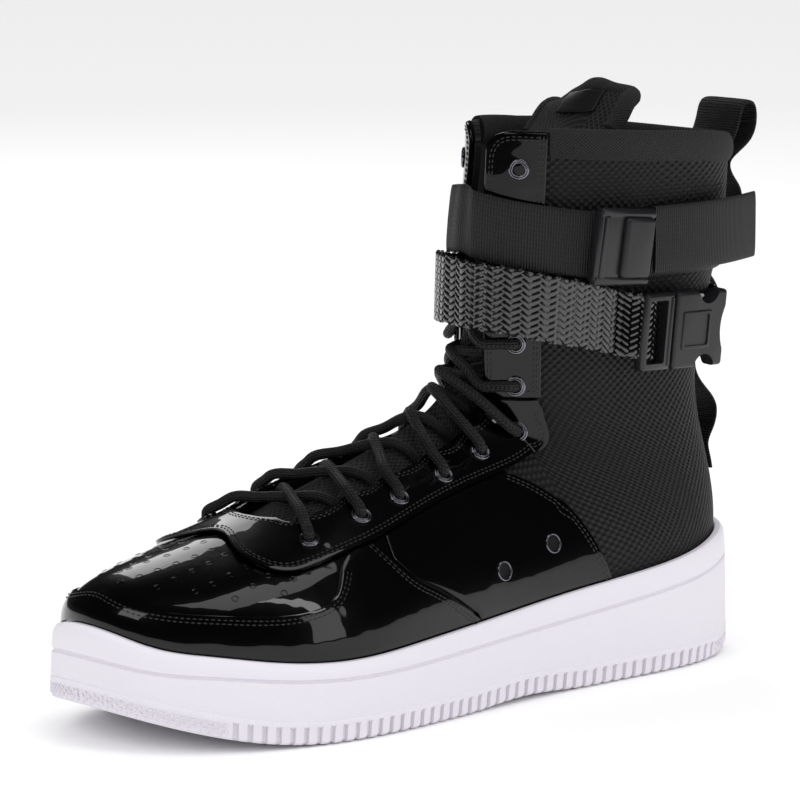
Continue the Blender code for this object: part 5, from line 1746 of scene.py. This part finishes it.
def model_laces():
    """Each crossing: two cords out of their eyelets, one over the other, under the far edge."""
    for number in range(8):
        cords = []
        for side in (1, -1):
            path = lace_path(side, number)
            girth, rise = EYELETS[number]
            eyelet = girth if side > 0 else 4 - girth
            hole = lifted(eyelet, rise, EYESTAY_TOP - 0.0012)
            mouth = lifted(eyelet, rise, EYESTAY_TOP + 0.0016)
            lean = path[0] - mouth
            mouth = mouth + lean / np.linalg.norm(lean) * 0.0008
            middle = len(path) - 3
            next_girth, next_rise = EYELETS[number + 1]
            start_place = 2 - girth if rise < 1 else rise
            stop_place = 2 - next_girth if next_rise < 1 else next_rise
            stop_share, stop_across, extra = LACE_ENDS[number]
            over = 0.0011 if side > 0 else -0.0007
            front = tongue_front((start_place + stop_place) / 2)
            for k in range(max(2, middle - 2), len(path)):
                fade = 1.0 if k == middle else 0.5
                path[k] = path[k] + front * over * fade
            end_place = start_place + (stop_place - start_place) * min(1.0, stop_share + 0.10)
            tuck = tongue_section(end_place)(side * 0.62) + tongue_front(end_place) * 0.0003
            cords.append(tube(f"lace_{number + 1}", [hole, mouth] + list(path) + [tuck],
                              LACE_DIAMETER / 2, 56))
        pair = joined(f"lace_pair_{number + 1}", cords)
        place_in(dress(pair, CORD), "braided_cord", f"lace_crossing_{number + 1}")


# Straps and buckles


def band_profile(width, thickness, count=20):
    """Rounded cross-section of a band as a loop of out and lift values."""
    loop = []
    for k in range(count):
        angle = 2 * math.pi * k / count
        x, y = math.cos(angle), math.sin(angle)
        lift = math.copysign(abs(x) ** 0.45, x) * width / 2
        out = (math.copysign(abs(y) ** 0.6, y) * 0.5 + 0.5) * thickness
        loop.append((out, lift))
    return loop + loop[:1]


def strap_band(name, route, width, thickness, front_offset, seat=STRAP_SEAT, count=220):
    profile = band_profile(width, thickness)

    def place(s, t):
        out, lift = profile[int(round(t * (len(profile) - 1)))]
        degrees = -180 + 360 * s
        return strap_place(route, degrees, seat + out, front_offset, lift)

    band = laid_grid(name, count, len(profile) - 1, place)
    edit(band, weld, face_outwards)
    return smooth(band, 60)


def loose_band(name, path, axis, width, thickness, steps):
    """Band along a path whose width runs along one axis."""
    profile = band_profile(width, thickness)
    spots = smooth_path(path, steps)
    axis = np.array(axis, float)

    def place(s, t):
        k = int(round(s * steps))
        out, lift = profile[int(round(t * (len(profile) - 1)))]
        along = spots[min(k + 1, steps)] - spots[max(k - 1, 0)]
        side = np.cross(along, axis)
        side /= np.linalg.norm(side)
        return spots[k] + side * (out - thickness / 2) + axis * lift

    band = laid_grid(name, steps, len(profile) - 1, place)
    edit(band, weld, fill_ends, face_outwards)
    return smooth(band, 60)


def model_webbing():
    strap = strap_band("webbing_strap", WEBBING_ROUTE, STRAP_WIDTH, STRAP_THICKNESS, WEBBING_FRONT)
    place_in(dress(strap, WEBBING), "ribbed_webbing", "top_strap")
    z = shaft_height(table_value(WEBBING_ROUTE, 60))
    tail = [(x * SHAFT_HALF_WIDTH, y_at(f), z) for x, f in TAIL]
    end = loose_band("webbing_tail", tail, (0, 0, 1), STRAP_WIDTH, STRAP_THICKNESS, 70)
    place_in(dress(end, WEBBING), "ribbed_webbing", "top_strap_tail")
    strip = [(0.0, y_at(f), shaft_height(h)) for f, h in HEEL_STRIP]
    heel = loose_band("heel_webbing", strip, (1, 0, 0), WEBBING_WIDTH, WEBBING_THICKNESS, 260)
    place_in(dress(heel, WEBBING), "ribbed_webbing", "heel_strip")


STRIP_WIDTH = 0.0020
STRIP_ANGLE = math.radians(34)


def braid_floats(name, start=-180.0, stop=180.0, raised=None):
    """The strips of a flat braid where they show, each passing over two and under two."""
    degrees = np.linspace(-180, 180, 721)
    line = np.array([strap_place(BRAID_ROUTE, d, STRAP_SEAT + BRAID_THICKNESS, BRAID_FRONT, 0.0)
                     for d in degrees])
    length = np.concatenate([[0.0], np.cumsum(np.linalg.norm(np.diff(line, axis=0), axis=1))])
    row = STRIP_WIDTH / (2 * math.cos(STRIP_ANGLE))
    columns = int(round(length[-1] / (STRIP_WIDTH / (2 * math.sin(STRIP_ANGLE))) / 4)) * 4
    column = length[-1] / columns
    reach = int(BRAID_WIDTH / 2 / row)
    points = []
    faces = []
    across, along = 3, 5
    top = BRAID_THICKNESS - 0.0006
    for i in range(columns):
        for j in range(-reach, reach + 1):
            if (i + j) % 2:
                continue
            plus = (j + i) // 2
            minus = (j - i) // 2
            if (plus - minus) % 2:
                continue
            rising = (plus - minus) % 4 == 0
            slope = 1 if rising else -1
            here = float(np.interp((i + 0.5) * column, length, degrees))
            if not start <= here <= stop:
                continue
            first = len(points)
            for a in range(along):
                u = (a / (along - 1) - 0.5) * 2
                for b in range(across):
                    v = (b / (across - 1) - 0.5) * 2
                    far = u * 2.55 * STRIP_WIDTH / 2 * 1.15
                    wide = v * STRIP_WIDTH * 0.48
                    x = (i + 0.5) * column + far * math.cos(STRIP_ANGLE) - wide * math.sin(STRIP_ANGLE)
                    y = (j * row + slope * row / 2 + slope * (far * math.sin(STRIP_ANGLE)
                                                           + wide * math.cos(STRIP_ANGLE)))
                    y = min(max(y, -BRAID_WIDTH / 2), BRAID_WIDTH / 2)
                    out = top + 0.0006 * (1 - u ** 4) - 0.00045 * v * v
                    where = float(np.interp(x % length[-1], length, degrees))
                    if raised:
                        out += raised(where)
                    points.append(strap_place(BRAID_ROUTE, where, STRAP_SEAT + out, BRAID_FRONT, y))
            for a in range(along - 1):
                for b in range(across - 1):
                    k = first + a * across + b
                    faces.append((k, k + 1, k + across + 1, k + across))
    mesh = bpy.data.meshes.new(name)
    mesh.from_pydata([tuple(p) for p in points], [], faces)
    floats = bpy.data.objects.new(name, mesh)
    bpy.context.scene.collection.objects.link(floats)
    middle = Vector((0, y_at(SHAFT_CENTRE), 0))
    work = bmesh.new()
    work.from_mesh(mesh)
    for face in work.faces:
        away = face.calc_center_median() - middle
        if face.normal.x * away.x + face.normal.y * away.y < 0:
            face.normal_flip()
    work.to_mesh(mesh)
    work.free()
    finish_with(floats, "SOLIDIFY", thickness=0.0005, offset=-1.0)
    return place_in(dress(smooth(floats, 60), STRIP), "braided_cord")


LOOP_DEGREES = (90.0, 104.0)


def loop_rise(degrees):
    """Height of the braid's loop over the strap: up on the slider's bar, down at the fold."""
    share = (degrees - LOOP_DEGREES[0]) / (LOOP_DEGREES[1] - LOOP_DEGREES[0])
    return 0.0012 + 0.0042 * math.sin(math.pi * min(max(share, 0.0), 1.0)) ** 0.7


def model_braid():
    """Braided strap: a core in painted shadow for the shade under and between the strips, its glossy strips and the
    loop through the slider.
    """
    core = strap_band("braid_core", BRAID_ROUTE, BRAID_WIDTH - 0.0010, BRAID_THICKNESS - 0.0010, BRAID_FRONT)
    # The core is painted shadow: the shade under and between the strips
    place_in(dress(core, SHADOW_PAINT), "braided_cord", "braided_strap")
    braid_floats("braid_strips")
    profile = band_profile(BRAID_WIDTH - 0.0020, 0.0014)

    def place(s, t):
        out, lift = profile[int(round(t * (len(profile) - 1)))]
        degrees = LOOP_DEGREES[0] + (LOOP_DEGREES[1] - LOOP_DEGREES[0]) * s
        out += STRAP_SEAT + BRAID_THICKNESS - 0.0016 + loop_rise(degrees)
        return strap_place(BRAID_ROUTE, degrees, out, BRAID_FRONT, lift)

    loop = laid_grid("braid_loop_core", 30, len(profile) - 1, place)
    edit(loop, weld, fill_ends, face_outwards)
    # The loop's core is painted shadow as well
    place_in(dress(smooth(loop, 60), SHADOW_PAINT), "braided_cord")
    braid_floats("braid_loop_strips", *LOOP_DEGREES, loop_rise)


def block(name, size, centre, bevel, material, segments=3):
    """Box at a size and place in the buckle's own axes, its edges rounded over."""
    bpy.ops.object.select_all(action="DESELECT")
    bpy.ops.mesh.primitive_cube_add(size=1.0, location=centre)
    item = bpy.context.object
    item.name = name
    item.scale = size
    still(item)
    item.data.materials.append(material)
    finish_with(item, "BEVEL", width=bevel, segments=segments)
    return item


def bar(name, radius, length, centre, direction, material, bevel=0.0006):
    """Round bar along one axis of the buckle."""
    bpy.ops.object.select_all(action="DESELECT")
    turn = (0, math.pi / 2, 0) if direction == "X" else (math.pi / 2, 0, 0)
    bpy.ops.mesh.primitive_cylinder_add(vertices=24, radius=radius, depth=length, location=centre, rotation=turn)
    item = bpy.context.object
    item.name = name
    still(item)
    item.data.materials.append(material)
    finish_with(item, "BEVEL", width=bevel, segments=2, limit_method="ANGLE", angle_limit=math.radians(60))
    return item


def cut_out(item, cutter):
    finish_with(item, "BOOLEAN", operation="DIFFERENCE", solver="EXACT", object=cutter)
    bpy.data.objects.remove(cutter, do_unlink=True)
    return item


def set_on(item, matrix):
    item.data.transform(matrix)
    item.data.update()
    return smooth(item, 35)


def model_cam_buckle():
    lift = STRAP_SEAT + STRAP_THICKNESS + 2 * GAP
    matrix = buckle_frame(WEBBING_ROUTE, 107, lift)
    long, high, thick = CAM_LENGTH, CAM_HEIGHT, BUCKLE_THICKNESS
    parts = [
        block("cam_column", (0.0118, high - 0.0022, thick * 0.80), (long / 2 - 0.0074, 0, thick * 0.40),
              0.0012, SMOOTH_PLASTIC),
        bar("cam_bar_top", 0.0021, long * 0.90, (-0.0004, high / 2 - 0.0022, thick * 0.52), "X", SMOOTH_PLASTIC),
        bar("cam_bar_foot", 0.0021, long * 0.90, (-0.0004, -high / 2 + 0.0022, thick * 0.52), "X", SMOOTH_PLASTIC),
        block("cam_rear", (0.0030, high - 0.0030, thick * 0.45), (-long / 2 + 0.0024, 0, thick * 0.24), 0.0010,
              SMOOTH_PLASTIC),
        block("cam_ridge", (0.0022, high - 0.0060, 0.0012), (long / 2 - 0.0042, 0, thick * 0.84), 0.0005,
              SMOOTH_PLASTIC),
    ]
    frame_piece = joined("cam_buckle_body", parts)
    place_in(set_on(frame_piece, matrix), "moulded_plastic", "cam_buckle_frame")
    lever = block("cam_buckle_lid", (0.0142, high - 0.0066, thick * 0.62), (-0.0058, 0, thick * 0.80), 0.0016,
                  GRAINY_PLASTIC, 4)
    for point in lever.data.vertices:
        share = (point.co.x + 0.0058) / 0.0071
        point.co.z += 0.0009 * (1 - share * share) - 0.0006 * max(0.0, -share)
    place_in(set_on(lever, matrix), "moulded_plastic", "cam_buckle_lever")


def model_release_buckle():
    lift = STRAP_SEAT + BRAID_THICKNESS + 2 * GAP
    matrix = buckle_frame(BRAID_ROUTE, 82, lift)
    thick = BUCKLE_THICKNESS
    high = RELEASE_HEIGHT
    front_length = RELEASE_LENGTH * 0.36
    front_centre = RELEASE_LENGTH / 2 - front_length / 2
    front = block("release_buckle_slider", (front_length, high, thick * 0.8), (front_centre, 0, thick * 0.4),
                  0.0012, SMOOTH_PLASTIC)
    cut_out(front, block("slot", (front_length * 0.62, high * 0.82, 3 * thick),
                         (front_centre + front_length * 0.06, 0, 0), 0.0008, SMOOTH_PLASTIC))
    rib = block("slider_rib", (0.0014, high * 0.90, 0.0010), (front_centre - front_length * 0.40, 0, thick * 0.80),
                0.0005, SMOOTH_PLASTIC)
    front = joined("release_buckle_slider", [front, rib])
    place_in(set_on(front, matrix), "moulded_plastic", "release_buckle_frame")
    length = RELEASE_LENGTH - front_length - GAP
    centre = -RELEASE_LENGTH / 2 + length / 2
    socket = block("release_buckle_clasp", (length, high, thick), (centre, 0, thick / 2), 0.0014, GRAINY_PLASTIC, 4)
    for end in (1, -1):
        bpy.ops.object.select_all(action="DESELECT")
        bpy.ops.mesh.primitive_cylinder_add(vertices=32, radius=high * 0.20, depth=4 * thick,
                                            location=(centre - length * 0.12, end * high * 0.53, 0))
        cut_out(socket, still(bpy.context.object))
    bpy.ops.object.select_all(action="DESELECT")
    bpy.ops.mesh.primitive_cylinder_add(vertices=48, radius=high * 0.62, depth=4 * thick,
                                        location=(-RELEASE_LENGTH / 2 - high * 0.52, 0, 0))
    cut_out(socket, still(bpy.context.object))
    window = block("window_ridge", (length * 0.56, high * 0.50, 0.0012), (centre + length * 0.10, 0, thick), 0.0005,
                   GRAINY_PLASTIC)
    cut_out(window, block("window_cut", (length * 0.56 - 0.0026, high * 0.50 - 0.0026, 0.01),
                          (centre + length * 0.10, 0, thick), 0.0008, GRAINY_PLASTIC))
    socket = joined("release_buckle_clasp", [socket, window])
    place_in(set_on(socket, matrix), "moulded_plastic", "release_buckle_socket")


def dress_insole():
    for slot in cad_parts["insole"].material_slots:
        slot.material = LINING


# Stage, lights and camera


def studio():
    """Pale seamless floor, softboxes and the camera at the photograph's angle."""
    bpy.ops.object.select_all(action="DESELECT")
    bpy.ops.mesh.primitive_plane_add(size=12.0, location=(0, 0, -0.0002))
    floor = still(bpy.context.object)
    floor.name = "floor"
    paper, tree, shader = start_material("white_paper", "#FFFFFF", 0.65, Specular_IOR_Level=0.2)
    dress(floor, paper)

    def softbox(name, place, target, size, power, colour="#FFFFFF"):
        bpy.ops.object.light_add(type="AREA", location=place)
        lamp = bpy.context.object
        lamp.name = name
        lamp.data.shape = "RECTANGLE"
        lamp.data.size, lamp.data.size_y = size
        lamp.data.energy = power
        lamp.data.color = linear(colour)[:3]
        aim = Vector(target) - Vector(place)
        lamp.rotation_euler = aim.to_track_quat("-Z", "Y").to_euler()
        return lamp

    for name, place, target, size, power in SOFTBOXES:
        softbox(name, place, target, size, power)
    world = bpy.data.worlds.new("studio")
    bpy.context.scene.world = world
    world.use_nodes = True
    tree = world.node_tree
    background = tree.nodes["Background"]
    path = add_node(tree, "ShaderNodeLightPath")
    tint = add_node(tree, "ShaderNodeMix", {"data_type": "RGBA", 6: linear("#FFFFFF"), 7: linear("#2A2A2C")},
                    {0: path.outputs["Is Glossy Ray"]})
    tree.links.new(tint.outputs[2], background.inputs[0])
    seen = add_node(tree, "ShaderNodeMath", {"operation": "MAXIMUM", 1: WORLD_STRENGTH},
                    {0: path.outputs["Is Camera Ray"]})
    tree.links.new(seen.outputs[0], background.inputs[1])
    bpy.ops.object.camera_add(location=CAMERA_PLACE)
    camera = bpy.context.object
    turn = math.radians(CAMERA_TURN)
    right = Vector((math.cos(turn), math.sin(turn), 0))
    back = Vector(CAMERA_BACK).normalized()
    up = back.cross(right).normalized()
    camera.rotation_euler = Matrix((right, up, back)).transposed().to_euler()
    camera.data.lens = CAMERA_LENS
    camera.data.sensor_width = 36.0
    camera.data.clip_end = 50.0
    bpy.context.scene.camera = camera
    bpy.context.scene.view_settings.view_transform = "Standard"


CAMERA_PLACE = (1.26944, -1.20730, 0.36668)
CAMERA_BACK = (0.74794, -0.64607, 0.15225)
CAMERA_TURN = 49.18
CAMERA_LENS = 208.93
WORLD_STRENGTH = 0.95
# Softboxes: place, target, width and height, power in watts
SOFTBOXES = [
    ("key_box", (0.15, -1.50, 1.30), (0.0, -0.10, 0.05), (0.62, 0.62), 3.6),
    ("side_box", (1.90, 0.55, 0.60), (0.0, -0.05, 0.10), (0.40, 1.10), 2.8),
    ("top_box", (0.4, 0.0, 2.00), (0.0, -0.1, 0.0), (0.9, 0.9), 5.0),
    ("toe_box", (-1.50, 0.75, 1.10), (0.0, -0.20, 0.05), (0.50, 0.90), 3.0),
    ("strip_box", (1.25, 0.35, 1.60), (0.0, -0.10, 0.05), (0.12, 1.20), 2.6),
]

studio()
model_sole()
model_stars()
model_upper()
model_overlays()
model_punched_holes()
model_vents()
model_eyelets()
model_binding()
sew_gusset()
model_stitches()
model_tongue()
model_laces()
model_webbing()
model_braid()
model_cam_buckle()
model_release_buckle()
dress_insole()
